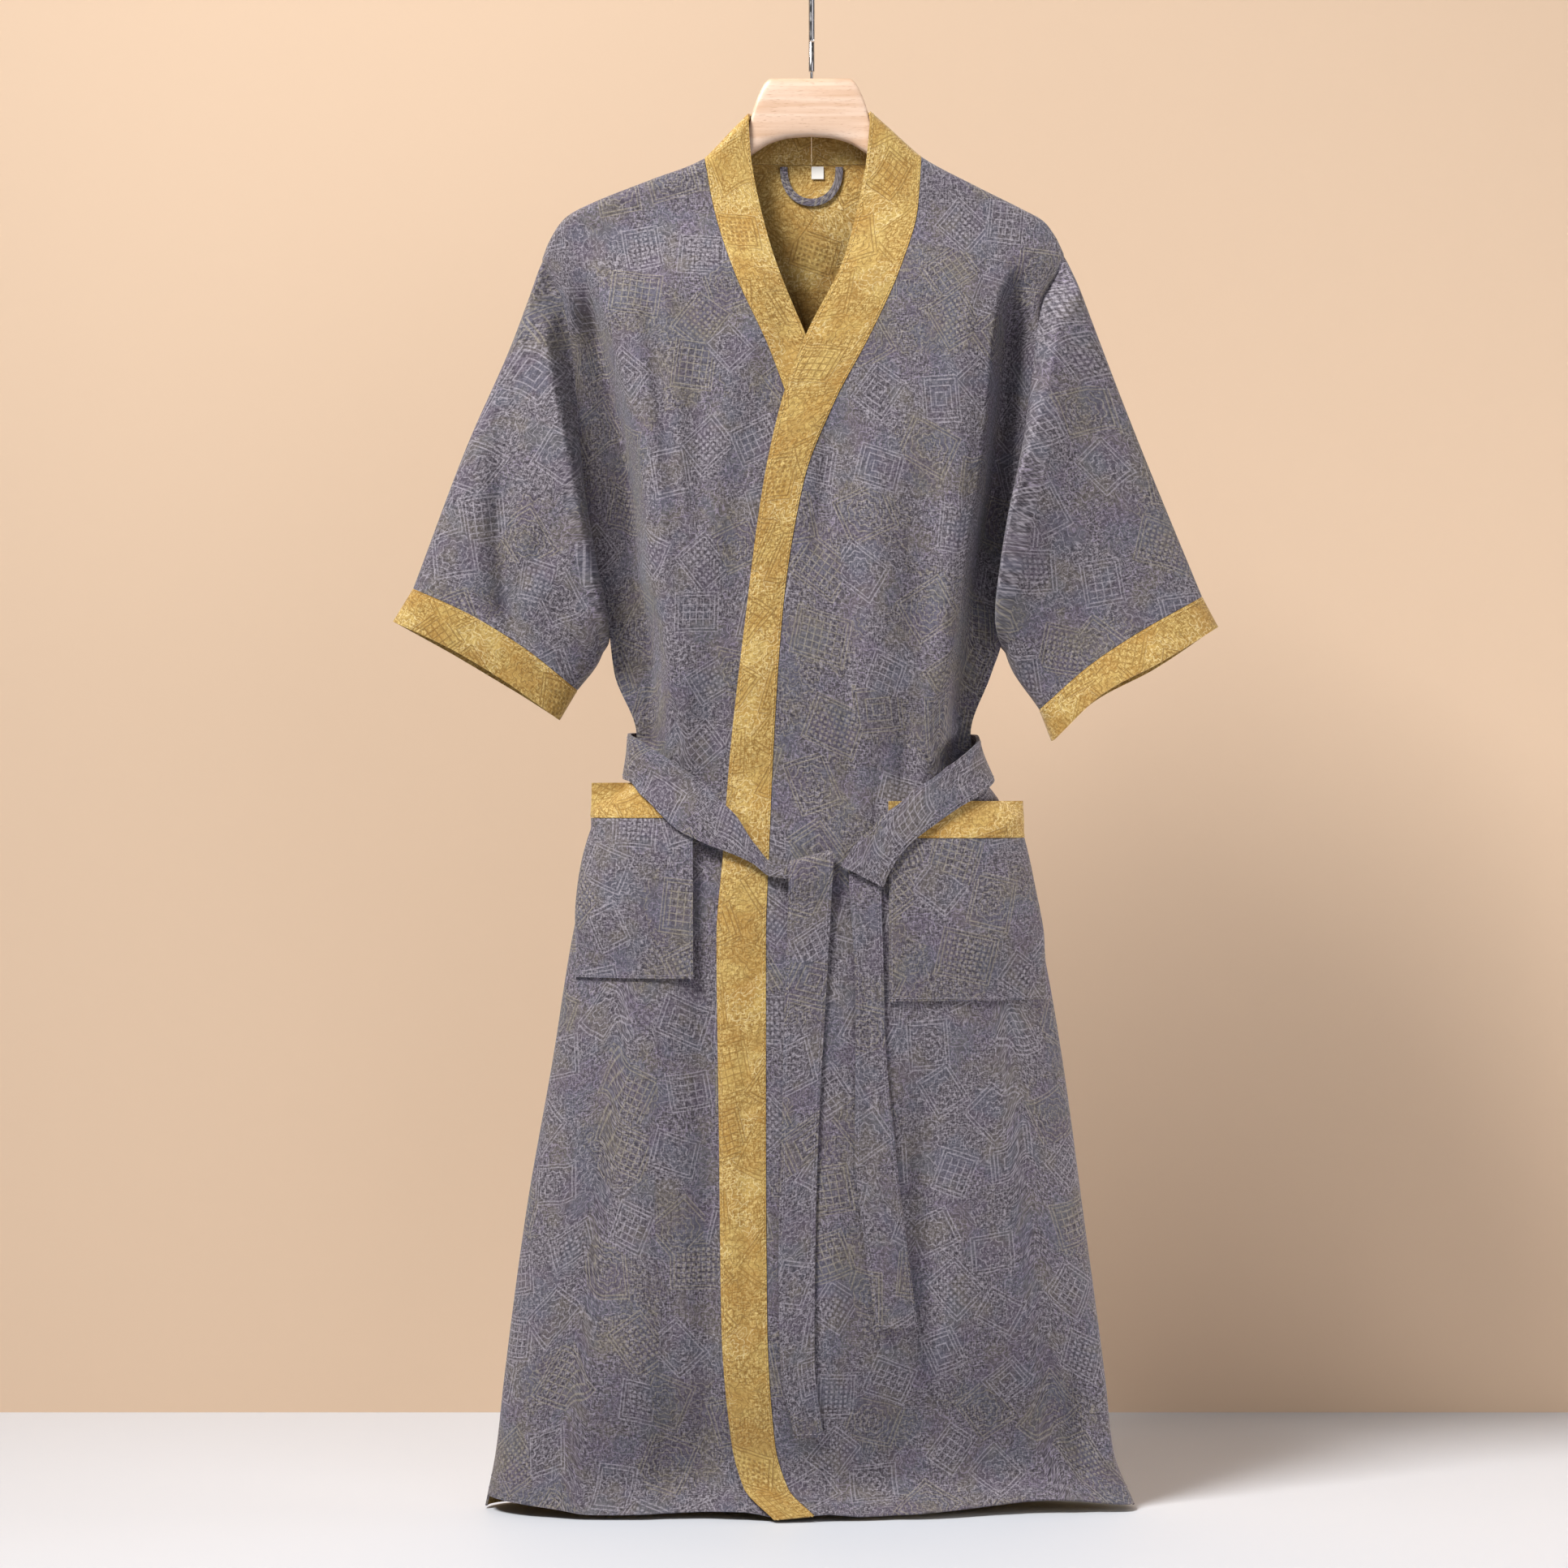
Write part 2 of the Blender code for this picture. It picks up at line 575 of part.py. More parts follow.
def build_cuff(name, ring, seam, hem, turned):
    """A band folded double, sewn to the sleeve's end and standing 0.6 mm proud."""
    rows = []
    for out in (0, 0.5, 1):
        row = []
        for step, (share, face) in enumerate(RING):
            move_x = follow(hem, "x", "part")(share) - follow(seam, "x", "part")(share)
            move_drop = follow(hem, "drop", "part")(share) - follow(seam, "drop", "part")(share)
            length = math.hypot(move_x, move_drop)
            move = point(move_x, 0, move_drop) * max(out, SEAM / length)
            proud = 0.6 * (4 * share * (1 - share)) ** 0.5
            row.append(ring[step] + move + point(0, -proud * face, 0))
        rows.append(row)
    cloth(name, rows, MUSTARD, wall=BAND_WALL, ring=True, turned=turned)


def round_body(turn, drop):
    """A place on the outside of the body, by its angle from the middle of the front."""
    left, right = left_side(drop), right_side(drop)
    angle = math.radians(turn)
    x = (left + right) / 2 + (right - left) / 2 * math.sin(angle)
    y = front_y(x, drop) if math.cos(angle) > 0 else back_y(x, drop)
    return point(x, y, drop)


def turn_at(x, drop):
    """The angle of a place on the front."""
    left, right = left_side(drop), right_side(drop)
    return math.degrees(math.asin(max(-1.0, min(1.0, (2 * x - left - right) / (right - left)))))


def off_body(turn, drop, off):
    """A place a set distance off the outside of the body."""
    across = round_body(turn + 2, drop) - round_body(turn - 2, drop)
    down = round_body(turn, drop + 2) - round_body(turn, drop - 2)
    normal = down.cross(across)
    normal.normalize()
    return round_body(turn, drop) + normal * off * 0.001


def build_pocket(pocket):
    """A patch pocket and its band, puffed a little off the front that carries it."""
    belt_low = follow([row for row in BELT if row.run <= 240][::-1], "low", "turn_low")
    if pocket.side == "left":
        shifted = [row._replace(turn_low=row.turn_low + 360) for row in BELT if row.run >= 500]
        belt_low = follow(shifted[::-1], "low", "turn_low")

    def rows(levels, wall):
        made = []
        for level in levels:
            inner = turn_at(pocket.edge, max(level, pocket.hang - 30))
            row = []
            for step in range(11):
                outer = mix(pocket.turn, pocket.turn_foot, ease(level, pocket.hang, pocket.foot))
                turn = mix(inner, outer, math.sin(math.pi / 2 * step / 10))
                low = belt_low(turn)
                pressed = (1 - ease(abs(turn), 78, 86)) * (1 - ease(level, low + 5, low + 30))
                pressed = max(pressed, 1 - ease(step, 0, 3))
                puff = math.sin(math.pi * step / 10) ** 0.7 * ease(pocket.foot - level, 0, 60) * (1 - pressed)
                gap = mix(POCKET_OFF_TOP, POCKET_OFF_LOW, ease(level, pocket.seam, pocket.foot))
                off = gap + wall + POCKET_FULL * puff
                hung = off_body(turn, max(level, pocket.hang), off)
                spot = mix(hung, off_body(turn, level, off), pressed)
                spot.z = -level * 0.001
                row.append(spot)
            made.append(row)
        return made
    bag = [mix(pocket.seam + SEAM, pocket.foot, i / 8) for i in range(9)]
    strip = [mix(pocket.mouth, pocket.seam - SEAM, i / 3) for i in range(4)]
    turned = pocket.side == "right"
    cloth("pocket_" + pocket.side, rows(bag, WALL), GREY, turned=turned)
    cloth("pocket_band_" + pocket.side, rows(strip, BAND_WALL), MUSTARD, wall=BAND_WALL, turned=turned)


def build_belt():
    """One long tube pressed flat: the stretch round the waist and its two free ends."""
    columns = {name: follow(BELT, name, "run") for name in Belt._fields[1:]}
    rows = []
    for step in range(61):
        run = BELT[-1].run * step / 60
        row = []
        for part in (0, 0.5, 1):
            turn = mix(columns["turn_top"](run), columns["turn_low"](run), part)
            drop = mix(columns["top"](run), columns["low"](run), part)
            row.append(off_body(turn, drop, BELT_OFF + BELT_WALL))
        rows.append(row)
    cloth("belt_waist", rows, GREY, wall=BELT_WALL)
    for piece, table, count in (("belt_tail_long", TAIL_LONG, 22), ("belt_tail_short", TAIL_SHORT, 16)):
        left, right, off, tilt = (follow(table, name) for name in ("left", "right", "off", "tilt"))
        top, low = table[0].drop, table[-1].drop
        drops = [row.drop for row in table[:4]]
        drops += [mix(drops[-1], low, i / count) for i in range(1, count + 1)]
        rows = []
        for drop in drops:
            row = []
            for part in (0, 0.33, 0.67, 1):
                x, low_at = mix(left(drop), right(drop), part), drop + tilt(drop) * (1 - part)
                row.append(point(x, front_y(x, low_at) - off(drop), low_at))
            rows.append(row)
        cloth(piece, rows, GREY, wall=BELT_WALL)


def build_loop_and_label():
    """A loop of the outer cloth and a small label, both caught in the back neck seam."""
    rows = []
    for step in range(17):
        angle = math.pi * step / 16
        x, drop = -LOOP["half"] * math.cos(angle), BACK_NECK + 2 + LOOP["drop"] * math.sin(angle) ** 0.8
        out = Vector((-math.cos(angle), math.sin(angle))) * LOOP["width"] / 2
        row = []
        for part in (1, -1):
            spot_x, spot_drop = x + out.x * part, drop + max(0.0, out.y * part)
            y = back_y(spot_x, spot_drop) - WALL - LOOP["gap"] - LOOP["wall"]
            row.append(point(spot_x, y, spot_drop if part > 0 else spot_drop - out.y))
        rows.append(row)
    cloth("hang_loop", rows, GREY, wall=LOOP["wall"])
    rows = []
    for drop in (LABEL["top"], LABEL["low"]):
        y = back_y(LABEL["right"], drop) - WALL - LABEL["gap"] - LABEL["wall"]
        rows.append([point(x, y, drop) for x in (LABEL["left"], LABEL["right"])])
    cloth("size_label", rows, WHITE, wall=LABEL["wall"])


def build_hanger():
    """A board with arms that slope inside the shoulders and an arched underside."""
    rings = []
    for row in BOARD:
        rings.append((row.x, row.top, row.low, row.half))
    for x in ARM_STATIONS:
        top = max(crest(BOARD_MIDDLE + x), crest(BOARD_MIDDLE - x)) + 4.4
        rings.append((x, top, top + ARM_DEEP, 6.5))
    rings.append((197.5, top + 7, top + ARM_DEEP - 3, 4.5))
    rings = [(-x, top, low, half) for x, top, low, half in rings[:0:-1]] + rings
    mesh = bpy.data.meshes.new("hanger_board")
    points, faces = [], []
    sides = 12
    for x, top, low, half in rings:
        for step in range(sides):
            angle = 2 * math.pi * (step + 0.5) / sides
            y = half * math.copysign(abs(math.cos(angle)) ** 0.6, math.cos(angle))
            up = math.copysign(abs(math.sin(angle)) ** 0.6, math.sin(angle))
            points.append(point(BOARD_MIDDLE + x, y, (top + low) / 2 - (low - top) / 2 * up))
    for i in range(len(rings) - 1):
        for step in range(sides):
            a, b = i * sides + step, i * sides + (step + 1) % sides
            faces.append((a, b, b + sides, a + sides))
    faces.append(tuple(range(sides))[::-1])
    faces.append(tuple(len(points) - sides + step for step in range(sides)))
    mesh.from_pydata(points, [], faces)
    mesh.shade_smooth()
    place("hanger_board", mesh, BEECH, 0.5)


def build_hook():
    """A wire hook in the plane square to the hanger, open towards the front."""
    middle = HOOK_ROUND + HOOK_WIRE
    path = [(-middle, HOOK_LEG), (-middle, mix(HOOK_LEG, HOOK_ROUND, 0.5))]
    for step in range(15):
        angle = math.pi * step / 14
        path.append((-middle * math.cos(angle), HOOK_ROUND - middle * math.sin(angle)))
    path += [(middle * math.cos(math.pi * i / 6), HOOK_ROUND + 10 * i) for i in (1, 2)]
    path += [(2.0, HOOK_ROUND + 34), (0, HOOK_ROUND + 42), (0, HOOK_STEM)]
    curve = bpy.data.curves.new("hanger_hook", "CURVE")
    curve.dimensions = "3D"
    curve.bevel_depth = HOOK_WIRE * 0.001
    curve.bevel_resolution = 2
    curve.use_fill_caps = True
    spline = curve.splines.new("POLY")
    spline.points.add(len(path) - 1)
    for spot, (y, drop) in zip(spline.points, path):
        spot.co = (*point(0, y, drop), 1)
    place("hanger_hook", curve, STEEL, 0.3, 1.0)
    top, low = HOOK_STEM + SEAM, HANGER_TOP - SEAM
    bpy.ops.mesh.primitive_cylinder_add(vertices=12, radius=0.0013, depth=(low - top) * 0.001,
                                        location=point(0, 0, (top + low) / 2))
    pin = bpy.context.object
    pin.name = pin.data.name = "hook_pin"
    pin.data.materials.append(material("hook_pin", STEEL, 0.3, 1.0))
    for owner in pin.users_collection:
        owner.objects.unlink(pin)
    robe.objects.link(pin)


robe = bpy.data.collections.new("Kimono robe on hanger")


def main():
    for old in list(bpy.data.objects):
        bpy.data.objects.remove(old, do_unlink=True)
    bpy.context.scene.collection.children.link(robe)
    build_back()
    build_fronts()
    build_neck_band()
    build_sleeves()
    for pocket in POCKETS:
        build_pocket(pocket)
    build_belt()
    build_loop_and_label()
    build_hanger()
    build_hook()


main()
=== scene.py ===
"""Looks of a short-sleeved kimono robe of double-faced cotton gauze on a wooden hanger.

X runs to the right as seen from the front, Y to the back and Z up, in metres; the origin is
the inside top of the hook. Sizes are in millimetres up to point(), which makes them metres.
A drop is a distance below the origin. Left and right in the tables are as seen from the
front; the robe's own left, in the names of the pieces, is the other side.
"""
import math
from bisect import bisect_right
from collections import namedtuple

import bpy
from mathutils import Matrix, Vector, noise


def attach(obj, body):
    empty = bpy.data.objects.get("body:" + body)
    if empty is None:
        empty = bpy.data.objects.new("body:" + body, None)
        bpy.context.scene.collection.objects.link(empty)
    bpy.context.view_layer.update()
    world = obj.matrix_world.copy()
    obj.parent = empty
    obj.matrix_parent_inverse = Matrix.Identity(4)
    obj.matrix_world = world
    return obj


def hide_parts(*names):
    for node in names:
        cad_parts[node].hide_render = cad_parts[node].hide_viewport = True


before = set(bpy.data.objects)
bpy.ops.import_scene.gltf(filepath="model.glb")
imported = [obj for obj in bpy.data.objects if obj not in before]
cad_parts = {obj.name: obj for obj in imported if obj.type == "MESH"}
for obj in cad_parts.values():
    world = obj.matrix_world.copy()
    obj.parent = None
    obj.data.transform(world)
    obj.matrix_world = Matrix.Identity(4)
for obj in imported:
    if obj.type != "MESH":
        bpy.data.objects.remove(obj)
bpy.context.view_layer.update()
dense = 2


# The camera stands level and far back, as for a photograph with a long lens.
CAMERA_AT = (-0.0238, -3.2, -0.692)
LENS_MM = 85.2
SENSOR_MM = 36

camera = bpy.data.objects.new("camera", bpy.data.cameras.new("camera"))
camera.data.lens = LENS_MM
camera.data.sensor_width = SENSOR_MM
camera.location = CAMERA_AT
camera.rotation_euler = (math.radians(90), 0, 0)
bpy.context.scene.collection.objects.link(camera)
bpy.context.scene.camera = camera


# A plain pale floor and a warm plain wall behind it. The soft light comes from the upper
# left, with a weak fill from the right.
FLOOR_Z = -1.3168
WALL_Y = 0.49
FLOOR_COLOUR = "#dfe3ea"
WALL_COLOUR = "#e2c6aa"
ROOM_HALF = 4
ROOM_FRONT = -3.6
WALL_TOP = 2.2


def linear(colour):
    """An sRGB hex value as the linear colour that shaders read."""
    parts = [int(colour[i:i + 2], 16) / 255 for i in (1, 3, 5)]
    return tuple(c / 12.92 if c < 0.04045 else ((c + 0.055) / 1.055) ** 2.4 for c in parts) + (1,)


def add(tree, kind, inputs=None, **settings):
    """A node with its settings. An input is a value or another node's output."""
    made = tree.nodes.new(kind)
    for key, value in settings.items():
        setattr(made, key, value)
    for key, value in (inputs or {}).items():
        if isinstance(value, bpy.types.NodeSocket):
            tree.links.new(value, made.inputs[key])
        else:
            made.inputs[key].default_value = value
    return made


def make_material(name, colour, roughness, **sockets):
    """A material with its principled shader, and the shader."""
    made = bpy.data.materials.new(name)
    made.use_nodes = True
    shader = made.node_tree.nodes["Principled BSDF"]
    shader.inputs["Base Color"].default_value = linear(colour)
    shader.inputs["Roughness"].default_value = roughness
    for key, value in sockets.items():
        shader.inputs[key.replace("_", " ")].default_value = value
    return made, shader


def colour_ramp(tree, factor, *stops):
    """Colours that follow a value from 0 to 1, from pairs of a position and a colour."""
    made = add(tree, "ShaderNodeValToRGB", {"Fac": factor})
    elements = made.color_ramp.elements
    for element, (position, colour) in zip((elements[0], elements[1]), (stops[0], stops[-1])):
        element.position = position
        element.color = linear(colour)
    for position, colour in stops[1:-1]:
        elements.new(position).color = linear(colour)
    return made.outputs[0]


def place(name, mesh, *materials):
    made = bpy.data.objects.new(name, mesh)
    for material in materials:
        mesh.materials.append(material)
    bpy.context.scene.collection.objects.link(made)
    return made


def flat(name, material, first, second):
    """A flat face of the room between two edges, each given by its Y and Z."""
    mesh = bpy.data.meshes.new(name)
    corners = [(-ROOM_HALF, *first), (ROOM_HALF, *first), (ROOM_HALF, *second), (-ROOM_HALF, *second)]
    mesh.from_pydata(corners, [], [(0, 1, 2, 3)])
    place(name, mesh, material)


flat("floor", make_material("matt white floor", FLOOR_COLOUR, 0.55)[0],
     (ROOM_FRONT, FLOOR_Z), (WALL_Y, FLOOR_Z))
flat("wall", make_material("matt painted wall", WALL_COLOUR, 0.9)[0], (WALL_Y, FLOOR_Z), (WALL_Y, WALL_TOP))

Lamp = namedtuple("Lamp", "name at aim size power spread colour")
LAMPS = [
    Lamp("key", (-1.5, -1.45, 1.75), (0.5, -0.3, -0.8), 1.0, 58, 110, "#fffdfb"),
    Lamp("fill", (1.7, -2.8, 0.5), (0.0, 0.0, -0.6), 2.0, 16, 180, "#fdfaff"),
    Lamp("wall wash", (3.0, 0.1, -1.1), (-0.2, 0.49, -1.3), 0.8, 54, 180, "#fffbf6"),
]
for lamp in LAMPS:
    light = bpy.data.lights.new(lamp.name, "AREA")
    light.size = lamp.size
    light.energy = lamp.power
    light.spread = math.radians(lamp.spread)
    light.color = linear(lamp.colour)[:3]
    holder = bpy.data.objects.new(lamp.name, light)
    holder.location = lamp.at
    holder.rotation_euler = (Vector(lamp.aim) - Vector(lamp.at)).to_track_quat("-Z", "Y").to_euler()
    bpy.context.scene.collection.objects.link(holder)

world = bpy.data.worlds.new("studio")
world.use_nodes = True
world.node_tree.nodes["Background"].inputs["Color"].default_value = linear("#f2f1f4")
world.node_tree.nodes["Background"].inputs["Strength"].default_value = 0.09
bpy.context.scene.world = world
bpy.context.scene.view_settings.view_transform = "Standard"


# The cloth is double-faced cotton gauze: two thin weaves in one, grey-purple outside and
# mustard inside, with a fine figure in pale thread all over. Dyed and undyed threads make it
# heathered. Threads are 0.4 mm apart, too fine to show, so the heather is drawn 1.7 mm coarse.
THREAD_MM = 1.7
TILE_MM = 56.0          # one framed tile of the woven figure
ROSE_MM = 30.0          # one rosette between the tiles
LINE_MM = 0.95          # width of a pale line
TILE_SMALLEST = 15.0    # from the middle of the smallest tile to its edge
TILE_SPREAD = 6.0       # how much more that is on the largest one
TILE_SHAPE = 0.84       # a tile's width, as a share of its height
FRAME_MM = 2.8          # between the two lines of a frame
ROSE_SIZE = 11.2        # from the middle of a rosette to its edge


def gauze(name, ground, dark, light, tints, threads, share):
    """Matt woven cotton: mottled threads, faint tints, and a figure in pale thread.

    The figure is a generic one: tilted framed tiles that hold rings, dots, a lattice or
    nested squares, and rosettes and scrolls between them. It follows the cloth's UV map.
    """
    material, shader = make_material(name, ground, 0.92, Sheen_Weight=0.12, Sheen_Roughness=0.5,
                                     Specular_IOR_Level=0.25)
    tree = material.node_tree

    def calc(operation, a, b=0.0, c=0.0):
        return add(tree, "ShaderNodeMath", {0: a, 1: b, 2: c}, operation=operation).outputs[0]

    def ramp(value, low, high, start=0.0, end=1.0):
        return add(tree, "ShaderNodeMapRange", {"Value": value, "From Min": low, "From Max": high,
                   "To Min": start, "To Max": end}, interpolation_type="SMOOTHSTEP").outputs[0]

    def drawn(distance, width=LINE_MM):
        """A line where the distance, in millimetres, is near 0."""
        return ramp(distance, width * 0.35, width * 0.7, 1.0, 0.0)

    def repeated(distance, half_pitch, width=LINE_MM):
        """Lines that come back every two half pitches."""
        return drawn(calc("PINGPONG", distance, half_pitch), width)

    def times(a, b):
        return calc("MULTIPLY", a, b)

    def most(a, b):
        return calc("MAXIMUM", a, b)

    def blend(factor, first, second):
        mixed = add(tree, "ShaderNodeMix", {"Factor": factor, 6: first, 7: second}, data_type="RGBA")
        return mixed.outputs[2]

    def cells(size, randomness):
        """Scattered centres: the place from the nearest one, turned at random, and its colour."""
        cell = add(tree, "ShaderNodeTexVoronoi", {"Vector": spot, "Scale": 1 / size,
                   "Randomness": randomness}, voronoi_dimensions="2D")
        random = add(tree, "ShaderNodeSeparateColor", {"Color": cell.outputs["Color"]}).outputs
        local = add(tree, "ShaderNodeVectorMath", {0: spot, 1: cell.outputs["Position"]},
                    operation="SUBTRACT").outputs[0]
        turned = add(tree, "ShaderNodeVectorRotate", {"Vector": local, "Angle": times(random[1], 6.28)},
                     rotation_type="Z_AXIS").outputs[0]
        axes = add(tree, "ShaderNodeSeparateXYZ", {"Vector": turned}).outputs
        far = add(tree, "ShaderNodeVectorMath", {0: turned}, operation="LENGTH").outputs["Value"]
        return axes[0], axes[1], far, random

    def petals(x, y, far, count, deep):
        """The distance from the centre, waved round it."""
        wave = calc("SINE", times(calc("ARCTAN2", y, x), count))
        return calc("ADD", far, times(wave, deep))

    def speckle(size, detail):
        return add(tree, "ShaderNodeTexNoise", {"Vector": spot, "Scale": 1 / size, "Detail": detail},
                   noise_dimensions="2D").outputs

    def yarn(across, along):
        scale = (1 / (THREAD_MM * across), 1 / (THREAD_MM * along), 1)
        stretched = add(tree, "ShaderNodeMapping", {"Vector": spot, "Scale": scale}).outputs[0]
        return add(tree, "ShaderNodeTexNoise", {"Vector": stretched, "Scale": 1.0, "Detail": 2.0,
                   "Roughness": 0.6}, noise_dimensions="2D").outputs["Fac"]

    uv = add(tree, "ShaderNodeUVMap", uv_map="cloth").outputs[0]
    spot = add(tree, "ShaderNodeVectorMath", {0: uv, "Scale": 1000.0}, operation="SCALE").outputs[0]
    heather = times(calc("ADD", yarn(0.8, 2.2), yarn(2.2, 0.8)), 0.5)

    # Framed tiles, each with one of four fillings
    x, y, far, random = cells(TILE_MM, 0.72)
    box = most(calc("ABSOLUTE", x), times(calc("ABSOLUTE", y), TILE_SHAPE))
    from_edge = calc("SUBTRACT", box, calc("ADD", times(random[2], TILE_SPREAD), TILE_SMALLEST))
    tile = ramp(from_edge, 0.0, 0.6, 1.0, 0.0)
    beside = calc("SUBTRACT", 1.0, tile)
    outline = drawn(calc("ABSOLUTE", from_edge))
    rings = repeated(petals(x, y, far, 9.0, 1.0), 2.7)
    nest = repeated(box, 2.4)
    lattice = most(repeated(x, 3.1), repeated(y, 3.1))
    dots = times(repeated(x, 2.2, 2.2), repeated(y, 2.2, 2.2))
    filling = 0.0
    for low, high, motif in (
            (-1.0, 0.44, rings), (0.44, 0.56, nest), (0.56, 0.78, lattice), (0.78, 1.1, dots)):
        chosen = times(calc("GREATER_THAN", random[0], low), calc("LESS_THAN", random[0], high))
        filling = calc("ADD", filling, times(motif, chosen))
    filling = times(filling, ramp(from_edge, -5.2, -4.8, 1.0, 0.0))
    frame_lines = most(outline, drawn(calc("ABSOLUTE", calc("ADD", from_edge, FRAME_MM))))
    tile_lines = most(frame_lines, filling)

    # Rosettes and scrolls between the tiles
    rose_x, rose_y, rose_far, rose_random = cells(ROSE_MM, 0.9)
    waved = petals(rose_x, rose_y, rose_far, 7.0, 1.3)
    rose = ramp(waved, ROSE_SIZE, ROSE_SIZE + 0.5, 1.0, 0.0)
    scroll = times(repeated(times(speckle(11.0, 0.6)["Fac"], 44.0), 3.4, 1.2), 0.9)
    ground_lines = most(times(repeated(waved, 2.8), rose), times(scroll, calc("SUBTRACT", 1.0, rose)))
    lines = calc("ADD", times(tile_lines, tile), times(ground_lines, beside))
    figure = most(lines, outline)
    broken = times(figure, ramp(heather, 0.36, 0.54, 0.5, 1.0))

    # Threads from dark to light, then tints, then the figure in threads of three colours
    colour = colour_ramp(tree, heather, (0.37, dark), (0.5, ground), (0.63, light))
    clouds = add(tree, "ShaderNodeSeparateColor", {"Color": speckle(34.0, 3.0)["Color"]}).outputs
    for cloud, tint in zip(clouds, tints):
        colour = blend(ramp(cloud, 0.48, 0.66, 0.0, 0.38), colour, linear(tint))
    colour = blend(ramp(speckle(5.0, 2.0)["Fac"], 0.42, 0.66, 0.0, 0.34), colour, linear(dark))
    thread = blend(calc("GREATER_THAN", random[2], 0.6), linear(threads[0]), linear(threads[1]))
    third = times(calc("GREATER_THAN", rose_random[2], 0.62), beside)
    thread = blend(third, thread, linear(threads[2]))
    colour = blend(times(broken, share), colour, thread)
    tree.links.new(colour, shader.inputs["Base Color"])

    # The relief of the threads, the figure and the soft pucker of the two layers
    pucker = times(speckle(8.0, 2.0)["Fac"], 0.9)
    height = calc("ADD", times(heather, 0.3), calc("ADD", pucker, times(figure, 0.1)))
    bump = add(tree, "ShaderNodeBump", {"Height": height, "Strength": 0.7, "Distance": 0.0012})
    tree.links.new(bump.outputs[0], shader.inputs["Normal"])
    return material


grey_gauze = gauze(
    "grey cotton gauze", "#676168", "#39343b", "#979198", tints=("#736b5e", "#62576a", "#5f6472"),
    threads=("#bab4bd", "#aca38e", "#a99db4"), share=0.42)
mustard_gauze = gauze(
    "mustard cotton gauze", "#ba9a59", "#906d34", "#dcc180", tints=("#b58a42", "#d4b970", "#a87c3c"),
    threads=("#75552a", "#86642f", "#ecd8a4"), share=0.6)


# The back is one panel, sewn to the fronts along shoulders and sides and to the band at the
# neck. The body's sections, from the shoulders to the hem, shape the fronts as well.
CLOTH_WALL = 1.8
BAND_WALL = 2.4
SEAM = 0.3              # between two pieces sewn together
CROWN = 10.5            # round of the cloth over the hanger
FLAT_CHEST = 3.4        # how square the body's section is at the chest, and how round below
ROUND_SKIRT = 2.2
SKIRT_FROM, SKIRT_FULL = 560, 720
VALLEY_FLOOR = {"front": -8.0, "back": 15.0}
VALLEY_TOP = (235, 310)     # drops over which the valleys grow deep
VALLEY_FOOT = (655, 700)    # drops over which they fade
SIDE_FLOOR = 3.6        # how near the hanger's plane the valleys come at the sides
LONG_WAVE = (46, 130)       # size of the cloth's uneven waves, across and down
SHORT_WAVE = (19, 52)
HEM = 1315.0
UNDERARM = 565.6
BACK_NECK = 155.6
NECK_DROP = 152

Section = namedtuple("Section", "drop left right front back edge")
BODY = [
    Section(150, -232, 217, 11, 11, 0), Section(200, -232, 217, 22, 15, 0),
    Section(239, -232, 217, 30, 20, 0), Section(277, -214, 198, 35, 24, 8),
    Section(344, -204, 190, 41, 28, 8), Section(425, -197, 178, 46, 31, 8),
    Section(498, -186, 167, 49, 34, 7), Section(545, -176, 162, 50, 36, 4),
    Section(566, -174, 164, 51, 36, 0), Section(597, -170, 155, 52, 38, 0),
    Section(650, -151, 137, 50, 37, 0), Section(690, -156, 150, 48, 36, 0),
    Section(702, -165, 159, 49, 37, 0), Section(718, -176, 168, 51, 39, 0),
    Section(744, -186, 176, 54, 42, 0), Section(775, -195, 184, 57, 45, 0),
    Section(822, -206, 197, 60, 50, 0), Section(928, -223, 216, 62, 54, 0),
    Section(1060, -246, 234, 64, 58, 0), Section(1203, -265, 253, 68, 62, 0),
    Section(1265, -272, 260, 70, 64, 0), Section(1316, -282, 280, 72, 66, 0),
]
Crest = namedtuple("Crest", "x drop")
CREST = [
    Crest(-232, 239), Crest(-227, 226), Crest(-217, 209), Crest(-210, 202), Crest(-189, 191),
    Crest(-140, 171.5), Crest(-92.4, 152.6), Crest(-54.6, 114), Crest(0, 100), Crest(50, 114),
    Crest(94.5, 151.2), Crest(140, 175.7), Crest(182, 196.7), Crest(199.5, 206.5),
    Crest(210, 220), Crest(217, 234.5),
]
NECK_LEFT, NECK_RIGHT = -92.4, 94.5
ARM_LEFT, ARM_RIGHT = -232, 217

# Folds and creases: a trough goes into the garment, a ridge has a negative depth. The bow
# moves the middle of the fold sideways.
Fold = namedtuple("Fold", "x_top x_low top low bow width depth")
FOLDS = {
    "front": [
        Fold(15, 4, 380, 520, 0, 9, 4), Fold(92, 88, 420, 640, 2, 18, 5), Fold(54, 48, 380, 660, 3, 16, -5),
        Fold(-100, -96, 320, 500, 2, 13, 4), Fold(78, 80, 620, 720, 0, 10, 6),
        Fold(-172, -180, 980, 1180, -4, 20, 6), Fold(-148, -156, 800, 1230, 3, 20, -6),
        Fold(-92, -86, 730, 1330, 2, 13, 6), Fold(12, 18, 1000, 1300, 2, 13, -5),
        Fold(92, 104, 930, 1270, -3, 18, 9), Fold(170, 190, 1000, 1340, 4, 22, 6),
    ],
    "back": [
        Fold(-48, -62, 300, 660, -4, 20, 6), Fold(36, 54, 360, 680, 3, 18, 5),
        Fold(-150, -176, 780, 1340, 5, 24, 9), Fold(-52, -66, 730, 1300, -4, 20, 8),
        Fold(30, 38, 820, 1340, 4, 22, -7), Fold(112, 136, 740, 1340, -5, 24, 9),
    ],
}
